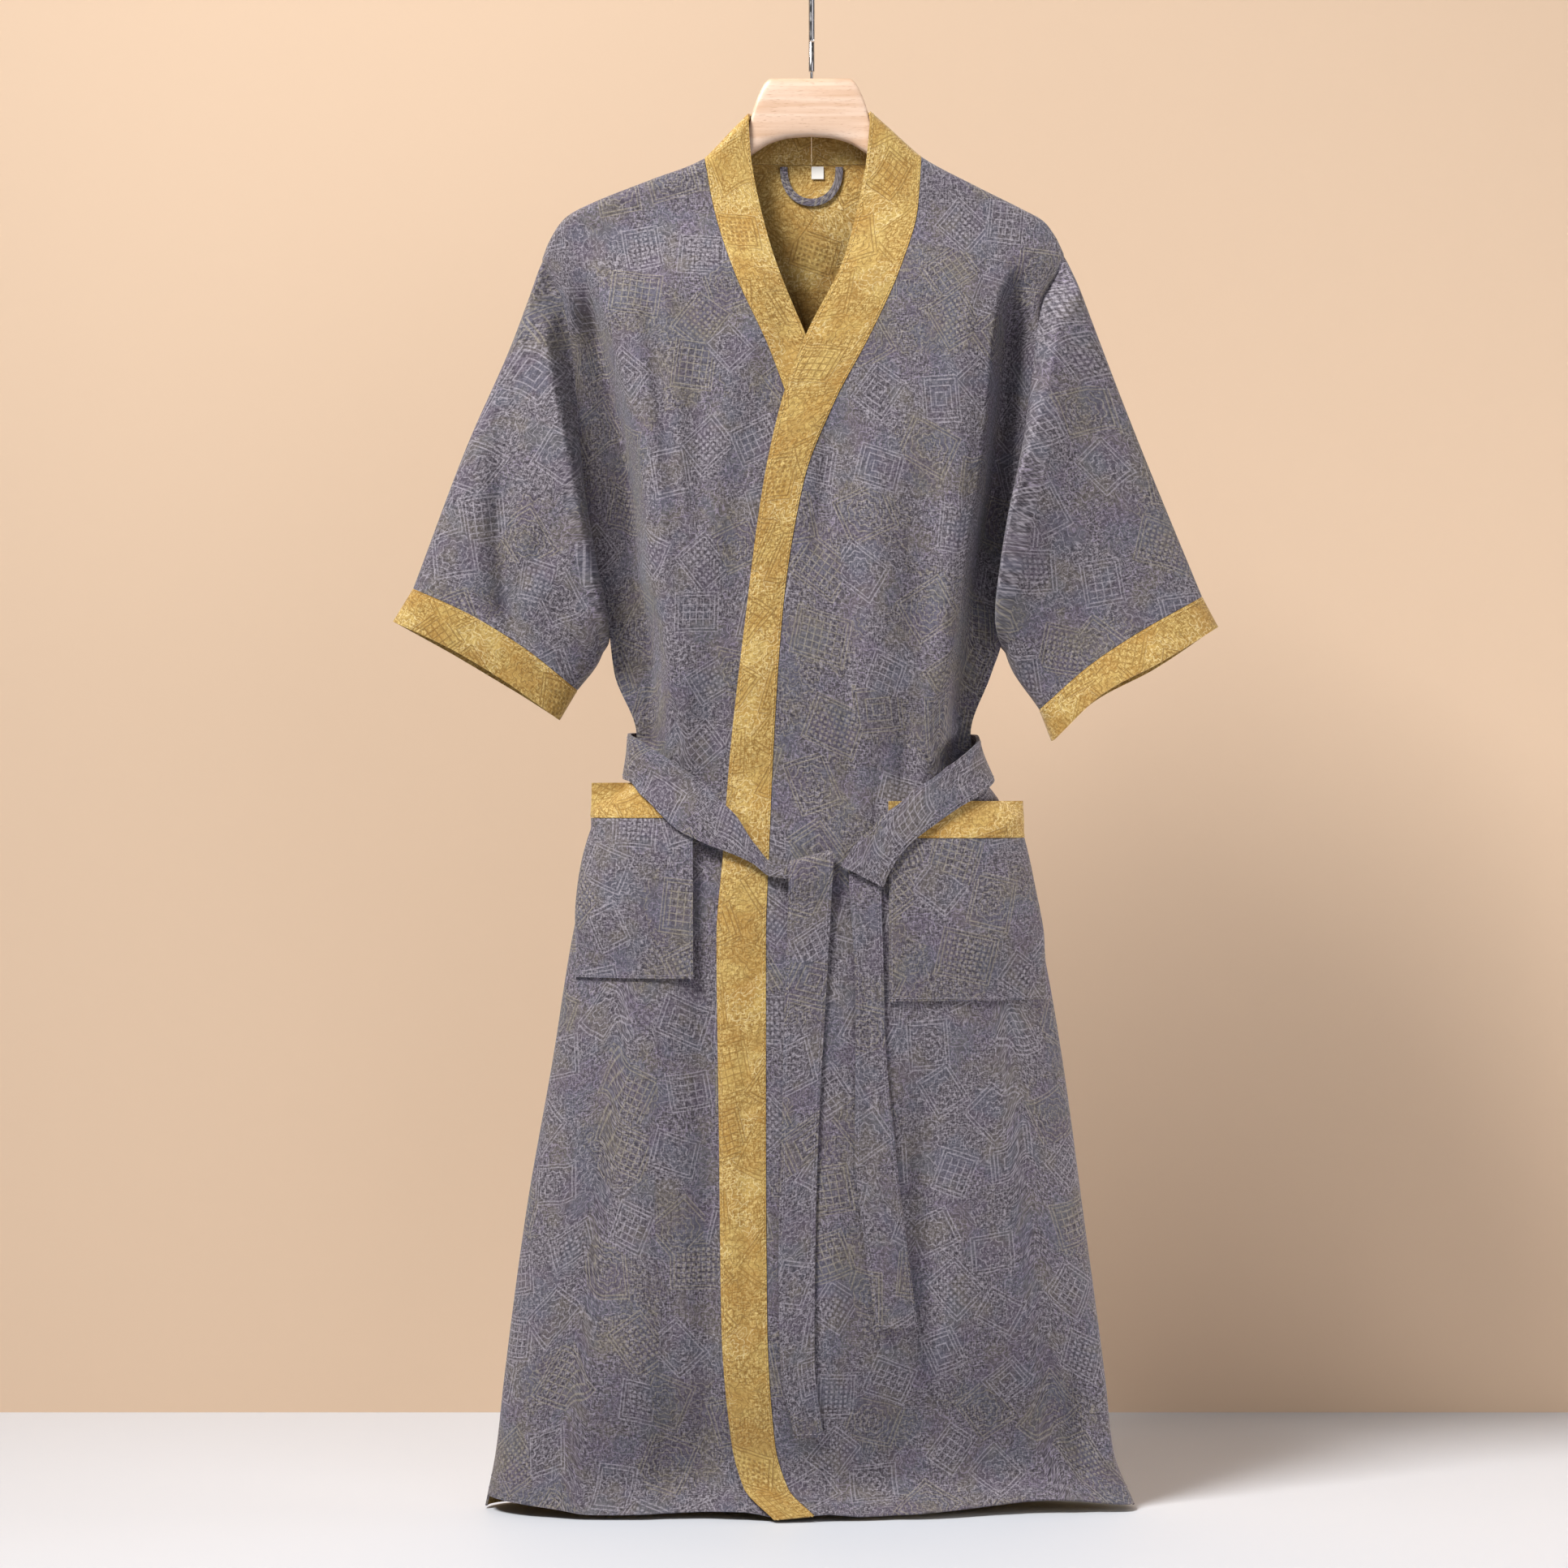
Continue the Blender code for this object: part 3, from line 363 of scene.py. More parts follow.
# Smaller creases, which the solids leave out
CREASES = {
    "front": [
        Fold(-160, -108, 240, 700, 8, 8, -4), Fold(140, 92, 240, 700, 6, 8, -4),
        Fold(-152, -118, 215, 470, 4, 7, 2.2), Fold(-128, -104, 240, 610, 5, 8, -1.8),
        Fold(150, 118, 225, 520, -4, 7, 2.0), Fold(124, 104, 260, 560, 3, 9, -1.8),
        Fold(-70, -62, 420, 650, 2, 9, 1.6), Fold(62, 66, 300, 430, 2, 8, 1.4),
        Fold(28, 30, 560, 730, 0, 6, 1.8), Fold(104, 110, 560, 700, 0, 5, 2.0),
        Fold(-116, -112, 560, 670, 0, 5, 1.8), Fold(60, 52, 660, 760, 0, 7, 2.2),
        Fold(40, 48, 800, 1080, 1, 8, 1.8), Fold(60, 72, 1150, 1330, 0, 9, 2.6),
        Fold(132, 150, 1080, 1335, 3, 10, 2.4), Fold(144, 156, 1040, 1440, 4, 34, 6),
        Fold(-110, -120, 1120, 1440, 4, 24, 4), Fold(-120, -128, 1040, 1335, 2, 10, 2.2),
        Fold(-200, -226, 1100, 1335, -2, 11, 2.6), Fold(-58, -56, 880, 1240, 1, 6, 1.5),
        Fold(216, 240, 1120, 1335, 2, 10, 2.4),
    ],
    "back": [
        Fold(-96, -92, 240, 560, 3, 8, 1.8), Fold(84, 90, 250, 600, -3, 9, 1.8),
        Fold(4, -4, 190, 470, 2, 10, 1.2), Fold(-20, -14, 560, 690, 0, 6, 2.0),
        Fold(84, 88, 590, 690, 0, 6, 2.0), Fold(-104, -112, 700, 980, 2, 8, 2.0),
        Fold(74, 82, 710, 1010, 0, 8, 1.8), Fold(-10, -14, 900, 1335, 3, 10, 2.2),
        Fold(-214, -236, 1000, 1335, 2, 11, 2.2), Fold(196, 222, 980, 1335, -2, 11, 2.4),
        Fold(82, 96, 1100, 1335, 2, 9, 2.0),
    ],
}


# Beside each armhole the cloth falls back into a deep valley. This is the edge of the body
# along it, on the front and on the back.
Edge = namedtuple("Edge", "drop left right")
VALLEY_EDGE = {
    "front": [
        Edge(230, -196, 178), Edge(296, -181, 164), Edge(366, -163, 157), Edge(436, -150, 149),
        Edge(506, -145, 137), Edge(590, -130, 125), Edge(660, -130, 117),
    ],
    "back": [
        Edge(230, -194, 180), Edge(300, -180, 166), Edge(400, -160, 152), Edge(500, -146, 138),
        Edge(600, -132, 122), Edge(660, -130, 116),
    ],
}


def follow(rows, column, key="drop"):
    """A smooth curve, without overshoot, through one column of a table."""
    keys = [getattr(row, key) for row in rows]
    values = [getattr(row, column) for row in rows]
    slopes = [(values[i + 1] - values[i]) / (keys[i + 1] - keys[i]) for i in range(len(keys) - 1)]
    turns = [slopes[0]]
    for before, after in zip(slopes, slopes[1:]):
        turns.append(2 * before * after / (before + after) if before * after > 0 else 0.0)
    turns.append(slopes[-1])

    def value(at):
        if at <= keys[0]:
            return values[0]
        if at >= keys[-1]:
            return values[-1]
        i = bisect_right(keys, at) - 1
        span = keys[i + 1] - keys[i]
        t = (at - keys[i]) / span
        return (values[i] * (1 + 2 * t) * (1 - t) ** 2 + values[i + 1] * t * t * (3 - 2 * t)
                + span * turns[i] * t * (1 - t) ** 2 - span * turns[i + 1] * t * t * (1 - t))
    return value


def ease(value, low, high):
    """0 below low, 1 above high, smooth between."""
    t = min(1.0, max(0.0, (value - low) / (high - low)))
    return t * t * (3 - 2 * t)


def mix(a, b, t):
    return a + (b - a) * t


def point(x, y, drop):
    return Vector((x, y, -drop)) * 0.001


left_side = follow(BODY, "left")
right_side = follow(BODY, "right")
depth_to = {"front": follow(BODY, "front"), "back": follow(BODY, "back")}
arm_edge = follow(BODY, "edge")
crest = follow(CREST, "drop", "x")
valley_edge = {side: (follow(rows, "left"), follow(rows, "right")) for side, rows in VALLEY_EDGE.items()}


# Broad hollows, where the skirt slackens above the hem and the chest falls in. A negative
# depth is a swell.
Hollow = namedtuple("Hollow", "x drop wide above below depth")
HOLLOWS = {
    "front": [
        Hollow(175, 1284, 125, 105, 30, 40), Hollow(50, 1284, 60, 95, 30, 22),
        Hollow(-118, 1284, 75, 72, 30, 28), Hollow(-40, 1280, 60, 40, 40, 6),
        Hollow(96, 1110, 18, 150, 90, 6), Hollow(100, 430, 50, 110, 110, -4),
        Hollow(-90, 640, 40, 70, 70, 3),
    ],
    "back": [
        Hollow(0, 1268, 190, 60, 42, 9), Hollow(0, 330, 110, 90, 90, -3),
    ],
}


def hollows(side, x, drop):
    total = 0.0
    for dent in HOLLOWS[side]:
        tall = dent.above if drop < dent.drop else dent.below
        off = ((x - dent.x) / dent.wide) ** 2 + ((drop - dent.drop) / tall) ** 2
        if off < 9:
            total += dent.depth * math.exp(-off)
    return total


def folds(table, side, x, drop):
    """Depth of the folds or creases at one place on the body."""
    total = 0.0
    for fold in table[side]:
        if fold.top < drop < fold.low:
            t = (drop - fold.top) / (fold.low - fold.top)
            off = (x - mix(fold.x_top, fold.x_low, t) - fold.bow * math.sin(math.pi * t)) / fold.width
            if abs(off) < 3:
                total += fold.depth * math.sin(math.pi * t) ** 0.7 * math.exp(-off * off)
    return total


def crown(run):
    """How far the cloth has rounded forward or back, this far down from a ridge."""
    return CROWN * math.sqrt(1 - (1 - min(1.0, run / CROWN)) ** 2)


def rumple(x, drop, seed):
    """The uneven hang of washed cotton, up to 1 mm: long waves and shorter ones."""
    slow = noise.noise(Vector((x / LONG_WAVE[0], drop / LONG_WAVE[1], seed)))
    quick = noise.noise(Vector((x / SHORT_WAVE[0], drop / SHORT_WAVE[1], seed + 7)))
    return 1.1 * slow + 0.45 * quick


def valley(side, x, drop):
    """1 on the floor of the valley beside an armhole, 0 on the body."""
    edge = abs(valley_edge[side][x > 0](drop))
    across = ease(abs(x), edge - 9, edge + 9)
    return across * ease(drop, *VALLEY_TOP) * (1 - ease(drop, *VALLEY_FOOT))


def body_depth(side, x, drop, valleys=True):
    """How far the outside of the body stands from the hanger's plane."""
    left, right = left_side(drop), right_side(drop)
    across = min(1.0, abs((2 * x - left - right) / (right - left)))
    power = mix(FLAT_CHEST, ROUND_SKIRT, ease(drop, SKIRT_FROM, SKIRT_FULL))
    full = (1 - across ** power) ** (1 / power)
    deep = mix(arm_edge(drop), depth_to[side](drop), full)
    round_top = crown(max(0.0, drop - crest(x)))
    below = drop - max(crest(x), NECK_DROP)
    deep = round_top + (deep - CROWN) * ease(below, 8, 110)
    small = folds(CREASES, side, x, drop) + hollows(side, x, drop)
    small -= rumple(x, drop, 3.0 if side == "front" else 11.0)
    waves = folds(FOLDS, side, x, drop) * full + small * ease(full, 0.1, 0.55)
    deep -= waves * ease(below, 20, 90)
    if valleys:
        foot = abs(valley_edge[side][x > 0](drop)) + 6
        inward = ease(min(x - left, right - x) / max(4.0, abs(right if x > 0 else left) - foot), 0, 1.1)
        lowest = mix(VALLEY_FLOOR[side], SIDE_FLOOR, ease(drop, 460, 560))
        floor = mix(max(arm_edge(drop), SIDE_FLOOR), lowest, inward) - 0.8 * rumple(x, drop, 5.0)
        deep = mix(deep, min(deep, floor), valley(side, x, drop))
    return deep


def front_y(x, drop):
    return -body_depth("front", x, drop)


def back_y(x, drop):
    """The back, which stands clear of the hanger's middle at the neck."""
    neck = max(0.0, 1 - (x / NECK_LEFT) ** 2) ** 2 * math.exp(-max(0.0, drop - BACK_NECK) / 60)
    return body_depth("back", x, drop) + 9 * neck


outsides = {}           # the outside of each finished piece, as rows of points


def cloth(name, rows, outside, inside, wall=CLOTH_WALL, ring=False, turned=False, upright=False,
          spread=None, shift=(0, 0)):
    """A wall of cloth whose outside passes through rows of points.

    Its UV map "cloth" runs in metres along the rows and down them, so that the weave keeps
    its size. ring joins the ends of each row. turned is for rows whose outside is on the
    other hand. upright is for a panel whose threads hang plumb, whatever its edges do, and
    spread gives a piece its own map. shift moves the figure, so that no two pieces match.
    """
    high, wide = len(rows), len(rows[0])
    inner = []
    for i in range(high):
        inner.append([])
        for j in range(wide):
            up, down = rows[max(0, i - 1)][j], rows[min(high - 1, i + 1)][j]
            if ring:
                before, after = rows[i][j - 1], rows[i][(j + 1) % wide]
            else:
                before, after = rows[i][max(0, j - 1)], rows[i][min(wide - 1, j + 1)]
            normal = (after - before).cross(down - up)
            sewn = not ring and (i < 3 or j in (0, wide - 1))
            if sewn and abs(rows[i][j].y) < SEAM * 0.001:
                normal.y = 0
            normal.normalize()
            inner[i].append(rows[i][j] + normal * wall * 0.001 * (-1 if turned else 1))
    outsides[name] = rows
    hand = 1 if rows[0][-1].x > rows[0][0].x else -1
    across = [[row[0].x * hand if upright else 0.0] for row in rows]
    for row, run in zip(rows, across):
        for j in range(1, wide + 1):
            run.append(run[-1] + (row[j % wide] - row[j - 1]).length)
    down = [[-rows[0][j].z if upright else 0.0 for j in range(wide)]]
    for i in range(1, high):
        down.append([down[-1][j] + (rows[i][j] - rows[i - 1][j]).length for j in range(wide)])
    points = [p for row in rows for p in row] + [p for row in inner for p in row]
    half = high * wide
    faces, marks, spots = [], [], []

    def face(corners, mark):
        order = corners[::-1] if turned else corners
        faces.append([layer * half + i * wide + j % wide for layer, i, j in order])
        marks.append(mark)
        behind = ring and min(j for _, _, j in corners) >= wide // 2
        for _, i, j in order:
            if spread:
                u, v = spread(i, j, behind)
            else:
                u, v = across[i][j] * hand, down[i][j % wide]
            spots.append((u + shift[0], v + shift[1]))

    for i in range(high - 1):
        for j in range(wide if ring else wide - 1):
            face([(0, i, j), (0, i + 1, j), (0, i + 1, j + 1), (0, i, j + 1)], 0)
            face([(1, i, j + 1), (1, i + 1, j + 1), (1, i + 1, j), (1, i, j)], 1)
    for j in range(wide if ring else wide - 1):
        face([(0, 0, j), (0, 0, j + 1), (1, 0, j + 1), (1, 0, j)], 0)
        low = high - 1
        face([(0, low, j + 1), (0, low, j), (1, low, j), (1, low, j + 1)], 0)
    if not ring:
        for i in range(high - 1):
            face([(0, i + 1, 0), (0, i, 0), (1, i, 0), (1, i + 1, 0)], 0)
            end = wide - 1
            face([(0, i, end), (0, i + 1, end), (1, i + 1, end), (1, i, end)], 0)
    mesh = bpy.data.meshes.new(name)
    mesh.from_pydata(points, [], faces)
    mesh.polygons.foreach_set("material_index", marks)
    layer = mesh.uv_layers.new(name="cloth")
    layer.data.foreach_set("uv", [value for spot in spots for value in spot])
    mesh.shade_smooth()
    mesh.set_sharp_from_angle(angle=math.radians(55))
    return place(name, mesh, outside, inside)


def fit(piece, node):
    """Ties a finished piece to the frame: it takes its node's place on the one body."""
    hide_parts(node)
    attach(piece, "root")


def grid(downs, places, at):
    """Rows of points: one row for each value down, one point for each place on it."""
    return [[at(down, place) for place in places] for down in downs]


def sew_on(piece, node):
    """Ties a piece of cloth to the frame."""
    fit(piece, node)


# The rows of a panel, as shares of its height: close ones turn over the shoulder
PANEL_TURN = [0.0, 0.0003, 0.0008, 0.0015, 0.0025, 0.0036, 0.005, 0.0068, 0.009, 0.012, 0.016, 0.020, 0.025]
PANEL_COUNT = 120 * dense
PANEL_ROWS = PANEL_TURN + [
    i / PANEL_COUNT for i in range(PANEL_COUNT + 1) if i / PANEL_COUNT > PANEL_TURN[-1] * 1.3]
PANEL_COLUMNS = [math.sin(math.pi / 2 * i / (40 * dense)) for i in range(40 * dense + 1)]
KNEE = 0.3              # the row that meets the underarm
SETTLE = 0.16           # rows over which the spacing along the shoulder gives way to the body's
CLOSING = (UNDERARM - 8, UNDERARM + 8)  # drops over which the side seam closes


def row_drop(top, low, across, down):
    """The drop of one place on a row, which reaches the underarm at the side of its knee."""
    knee = mix(mix(top, low, KNEE), UNDERARM, across ** 2)
    return mix(top, knee, down / KNEE) if down < KNEE else mix(knee, low, (down - KNEE) / (1 - KNEE))


def back_at(down, across):
    """A place on the back, by the share of its row and its share from the middle to the side."""
    end = ARM_RIGHT if across > 0 else -ARM_LEFT
    top_x = across * end
    inside_neck = NECK_LEFT + 0.1 < top_x < NECK_RIGHT - 0.1
    top = BACK_NECK + SEAM / 2 if inside_neck else crest(top_x)
    low = HEM - 1.5 * (1 + math.sin(across * 9))
    drop = row_drop(top, low, abs(across), down)
    x = mix(left_side(drop), right_side(drop), (across + 1) / 2)
    start = mix(left_side(top), right_side(top), (across + 1) / 2)
    x += (top_x - start) * max(0.0, 1 - down / SETTLE) ** 2 - across * SEAM / 2
    y = back_y(x, drop)
    if abs(across) == 1:
        y = mix(y, SEAM / 2, ease(drop, *CLOSING))
    if down == 0 and not inside_neck:
        y = SEAM / 2
    return point(x, max(SEAM / 2, y), drop)


back_rows = grid(PANEL_ROWS, [-x for x in PANEL_COLUMNS[:0:-1]] + PANEL_COLUMNS, back_at)
back = cloth("back", back_rows, grey_gauze, mustard_gauze, turned=True, upright=True)
sew_on(back, "back_panel")


# Two fronts of the same cloth, each from its shoulder to the hem. The wearer's left one lies
# over the right one and both are sewn to the back at the shoulder and side.
UNDER_LAP = 5.0         # how far behind the over front the under front lies

Hem = namedtuple("Hem", "x drop")
FRONT_HEM = [
    Hem(-284, 1303), Hem(-217, 1309), Hem(-190, 1312), Hem(-60, 1309), Hem(-25, 1313), Hem(14, 1310),
    Hem(42, 1312), Hem(140, 1308), Hem(210, 1304), Hem(282, 1311),
]
Band = namedtuple("Band", "drop seam_x free_x free_drop")
BAND_UNDER = [
    Band(152.6, -92.4, -54.6, 114), Band(198, -84, -52.5, 150), Band(254, -66.5, -36, 228),
    Band(324, -35, -5, 308.7), Band(408, -6, 28, 385), Band(470, 12, 52, 455), Band(580, 25, 68, 570),
    Band(720, 31, 75, 715), Band(916, 36, 79, 914), Band(1130, 37, 80, 1130), Band(1312, 32, 74, 1310),
]
BAND_OVER = [
    Band(151.2, 94.5, 50.8, 112), Band(198, 91, 47, 155), Band(247, 77, 28, 240), Band(310, 49, -5, 308.7),
    Band(366, 19.6, -26, 366), Band(435, -7, -42, 440), Band(548, -25, -56, 546),
    Band(681, -33.6, -71, 681), Band(751, -36.4, -75.6, 751), Band(822, -39, -81, 822),
    Band(985, -39, -79, 985), Band(1150, -37.8, -76.8, 1150), Band(1250, -31.5, -68.6, 1250),
    Band(1290, -20, -58, 1290), Band(1311, 2, -32, 1314),
]
front_hem = follow(FRONT_HEM, "drop", "x")
under_seam = follow(BAND_UNDER, "seam_x")
over_seam = follow(BAND_OVER, "seam_x")
over_free = follow(BAND_OVER[3:], "free_x", "free_drop")


def under_y(x, drop):
    """The under front lies behind the over front from the free edge of its band on."""
    free = over_free(min(drop, 1180))
    return front_y(x, drop) + UNDER_LAP * ease(x, free - 48, free - 12)


def panel_rows(inner, outer, neck, arm_top, depth):
    """Rows of a front: from its band's seam to the armhole and side seam."""
    side = 1 if arm_top > neck else -1

    def at(down, across):
        top_x = mix(neck, arm_top, across)
        top = crest(top_x)
        low = front_hem(mix(inner(HEM), outer(HEM), across))
        drop = row_drop(top, low, across, down)
        x = mix(inner(drop), outer(drop), across)
        start = mix(inner(top), outer(top), across)
        x += (top_x - start) * max(0.0, 1 - down / SETTLE) ** 2
        x += side * SEAM / 2 * (1 - 2 * across)
        y = depth(x, drop)
        if across == 1:
            y = mix(y, -SEAM / 2, ease(drop, *CLOSING))
        if across == 1 or down < 0.003:
            y = min(-SEAM / 2, y)
        if down == 0:
            y = -SEAM / 2
        return point(x, y, drop)
    return grid(PANEL_ROWS, PANEL_COLUMNS, at)


over_rows = panel_rows(over_seam, right_side, NECK_RIGHT, ARM_RIGHT, front_y)
over_front = cloth("over_front", over_rows, grey_gauze, mustard_gauze, upright=True, shift=(0.8, 0.31))
sew_on(over_front, "front_left")
under_rows = panel_rows(under_seam, left_side, NECK_LEFT, ARM_LEFT, under_y)
under_front = cloth("under_front", under_rows, grey_gauze, mustard_gauze, turned=True, upright=True,
                    shift=(1.7, 0.62))
sew_on(under_front, "front_right")


# The neck band is two mustard strips folded double, joined at the centre back. It is sewn to
# the back neck and down the edge of each front.
Collar = namedtuple("Collar", "seam_x free_x free_drop")
COLLAR = [
    Collar(0, 0, 112), Collar(26, 19, 111.8), Collar(50, 34, 111.8), Collar(70, 44, 112),
    Collar(84, 49.5, 112.5), Collar(90.5, 51.5, 113),
]
collar_x = follow(COLLAR, "free_x", "seam_x")
collar_drop = follow(COLLAR, "free_drop", "seam_x")
BAND_ROLL = 0.5         # how far its edges turn in, and how much its seams pucker
BAND_PUCKER = 0.35
BAND_PARTS = [i / (6 * dense) for i in range(6 * dense + 1)]


def band_rows(table, side, depth, lift):
    """Stations along half the band, from the centre back to the hem."""
    neck = abs(table[0].seam_x)
    rows = []
    stations = 12 * dense
    for station in range(stations + 1):
        seam_x = COLLAR[-1].seam_x * station / stations
        row = []
        for part in BAND_PARTS:
            x = side * mix(seam_x, collar_x(seam_x), part)
            drop = mix(BACK_NECK - SEAM, collar_drop(seam_x), part)
            y = max(back_y(x, drop), crown(2 * (neck - seam_x)) * part)
            row.append(point(x, y, drop))
        rows.append(row)
    for centre in rows[0]:
        centre.x = side * SEAM / 2 * 0.001
    free_x, free_drop = follow(table, "free_x"), follow(table, "free_drop")
    seam_at = follow(table, "seam_x")
    top = table[0].drop
    low = front_hem(table[-1].seam_x)
    for down in PANEL_ROWS:
        seam_drop = mix(top, low, down)
        run = seam_drop - top
        row = []
        for part in BAND_PARTS:
            x = mix(seam_at(seam_drop) - side * SEAM / 2, free_x(seam_drop), part)
            drop = mix(seam_drop, free_drop(seam_drop), part)
            roll = BAND_ROLL * (2 * part - 1) ** 4 * ease(run, 20, 80)
            pucker = BAND_PUCKER * noise.noise(Vector((part * 2, seam_drop / 17, side)))
            y = depth(x, drop) - (lift + 0.4) * ease(run, 20, 60) + roll + pucker * ease(run, 20, 60)
            row.append(point(x, mix(y, -crown(run), part * (1 - ease(run, 4, 60))), drop))
        rows.append(row)
    return rows


for name, table, side, depth, lift, node in (
        ("over_band", BAND_OVER, 1, front_y, 0.6, "neck_band_left"),
        ("under_band", BAND_UNDER, -1, under_y, 0.3, "neck_band_right")):
    band = cloth(name, band_rows(table, side, depth, lift), mustard_gauze, mustard_gauze, wall=BAND_WALL,
                 turned=side > 0, shift=(0.4 * side, 0.9))
    sew_on(band, node)


# Short wide sleeves of the outer cloth, each one tube with its top on the fold. A sleeve is
# sewn to the armhole and swells over the seam before it flattens towards the cuff.
Line = namedtuple("Line", "part x drop")
SLEEVE_TOP_LEFT = [
    Line(0, -232, 239), Line(0.14, -245, 280), Line(0.28, -256, 309), Line(0.6, -297, 402),
    Line(1, -343, 523.6),
]
SLEEVE_TOP_RIGHT = [
    Line(0, 217, 234.5), Line(0.1, 227, 259), Line(0.28, 243, 300), Line(0.6, 279, 392),
    Line(1, 336, 530.6),
]
SLEEVE_LOW_LEFT = [Line(0, -175, 566), Line(0.4, -184, 588), Line(1, -201.6, 611)]
SLEEVE_LOW_RIGHT = [Line(0, 163.5, 566), Line(0.4, 171, 590), Line(1, 196, 627.3)]
CUFF_SEAM_LEFT = [
    Line(0, -343, 523.6), Line(0.35, -294, 546), Line(0.7, -245, 576), Line(1, -201.6, 611),
]
CUFF_SEAM_RIGHT = [
    Line(0, 336, 530.6), Line(0.4, 280, 562), Line(0.7, 238, 590), Line(1, 196, 627.3),
]
CUFF_HEM_LEFT = [
    Line(0, -360.5, 552), Line(0.35, -308, 577), Line(0.7, -260, 606), Line(1, -217, 637),
]
CUFF_HEM_RIGHT = [
    Line(0, 350, 556.6), Line(0.4, 297, 588), Line(0.7, 249, 614), Line(1, 206.5, 655),
]
ARM_TOP_LEFT = 238.7
ARM_TOP_RIGHT = 234.5
SLEEVE_FULL = {1: 42, -1: 28}       # how far the front and the back of a sleeve swell
SLEEVE_RISE = {1: 0.13, -1: 0.17}   # how far out along each sleeve its roll stands highest
SLEEVE_ROUND = 0.3
CUFF_FULL = 21
ARM_TUCK = 1.0          # how far the sleeve's end is turned in under the armhole seam
ROLL_OVER = {1: 12.0, -1: 8.0}  # how far each sleeve's roll leans back over its seam
ROLL_REACH = 0.22
HALF_COUNT = 40 * dense
HALF_RING = sorted({0.5 - 0.5 * math.cos(math.pi * i / HALF_COUNT) for i in range(HALF_COUNT + 1)})
RING = [(share, 1) for share in HALF_RING] + [(share, -1) for share in HALF_RING[-2:0:-1]]
SLEEVE_ROWS = [i / (36 * dense) for i in range(36 * dense + 1)]

# Creases of a sleeve: where each crosses the armhole and the cuff, as shares round the front
Pull = namedtuple("Pull", "side face start end from_out to_out width depth")
PULLS = [
    Pull(-1, 1, -0.35, 0.65, 0.25, 1.2, 0.12, 15.0), Pull(-1, 1, 0.62, 0.50, 0.25, 1.0, 0.05, 3.0),
    Pull(-1, 1, 0.84, 0.70, 0.10, 0.9, 0.04, 2.0), Pull(-1, 1, 0.30, 0.26, 0.20, 0.8, 0.05, 1.5),
    Pull(-1, -1, 0.60, 0.48, 0.20, 1.0, 0.06, 3.0), Pull(-1, -1, 0.85, 0.75, 0.10, 0.8, 0.04, 2.2),
    Pull(1, 1, 0.70, 0.55, 0.10, 1.1, 0.12, 6.0), Pull(1, 1, 0.45, 0.30, 0.25, 1.0, 0.05, 2.4),
    Pull(1, 1, 0.83, 0.76, 0.10, 0.9, 0.04, 2.2), Pull(1, 1, 0.24, 0.26, 0.10, 0.7, 0.05, 1.6),
    Pull(1, -1, 0.58, 0.50, 0.25, 1.0, 0.06, 3.0), Pull(1, -1, 0.86, 0.72, 0.10, 0.9, 0.04, 2.0),

]


def line(rows):
    """A line of the sleeve as a function that gives its place from its share, 0 to 1."""
    x, drop = follow(rows, "x", "part"), follow(rows, "drop", "part")
    return lambda part: Vector((x(part), drop(part)))


def sleeve_crease(side, face, share, out):
    total = 0.0
    for pull in PULLS:
        if pull.side == side and pull.face == face and pull.from_out < out < pull.to_out:
            t = (out - pull.from_out) / (pull.to_out - pull.from_out)
            off = (share - mix(pull.start, pull.end, out)) / pull.width
            total += pull.depth * math.sin(math.pi * t) * math.exp(-off * off)
    return total


def sleeve_rows(side, top, low, seam, seam_line, arm_top):
    """Rings from the armhole to the cuff. A ring starts at the top fold and goes down the front."""
    top, low, seam = line(top), line(low), line(seam)

    def armhole(share):
        drop = mix(arm_top, UNDERARM, share)
        return Vector((seam_line(drop), drop))

    def at(out, place):
        share, face = place
        start = armhole(share)
        corners = mix(mix(armhole(0), armhole(1), share), mix(seam(0), seam(1), share), out)
        spot = mix(start, seam(share), out) + mix(top(out), low(out), share) - corners
        depth = body_depth("front" if face > 0 else "back", start.x, start.y)
        fullness = (4 * share * (1 - share)) ** SLEEVE_ROUND
        rise = ease(out, 0, SLEEVE_RISE[side])
        swell = SLEEVE_FULL[face] * fullness * rise * (1 - 0.5 * ease(out, 0.1, 1))
        y = depth * (1 - ease(out, 0, 0.5)) + swell + CUFF_FULL * 0.25 * fullness * out
        waves = sleeve_crease(side, face, share, out) - rumple(spot.x, spot.y, 20.0 + face)
        y -= waves * fullness * ease(out, 0, 0.15) * (1 - ease(out, 0.93, 1))
        rolled = math.sin(math.pi * min(1.0, out / ROLL_REACH))
        lean = ROLL_OVER[side] * fullness * rolled * ease(share, 0.15, 0.7)
        tuck = side * (SEAM / 2 - ARM_TUCK * (1 - ease(out, 0, 0.04)) - lean)
        return point(spot.x + tuck, -y if face > 0 else y, spot.y)
    return grid(SLEEVE_ROWS, RING, at)


def sleeve_spread(rows):
    """The map of a sleeve laid flat: the front, and the back turned over along the top fold."""
    wide = len(RING)
    half = wide // 2
    runs = []
    for row in rows:
        run = [0.0]
        for j in range(1, wide + 1):
            run.append(run[-1] + (row[j % wide] - row[j - 1]).length)
        runs.append(run)
    fold = (rows[-1][0] - rows[0][0]).xz.normalized()
    square = Vector((-fold.y, fold.x))

    def spread(i, j, behind):
        top, low = rows[i][0].xz, rows[i][half].xz
        way = (low - top).normalized()
        if behind:
            reach = runs[i][wide] - runs[i][j] - (runs[i][wide] - runs[i][half]) / 2
        else:
            reach = runs[i][j] - runs[i][half] / 2
        spot = (top + low) / 2 + way * reach - rows[0][0].xz
        return spot.dot(square) * (-1 if behind else 1), spot.dot(fold)
    return spread


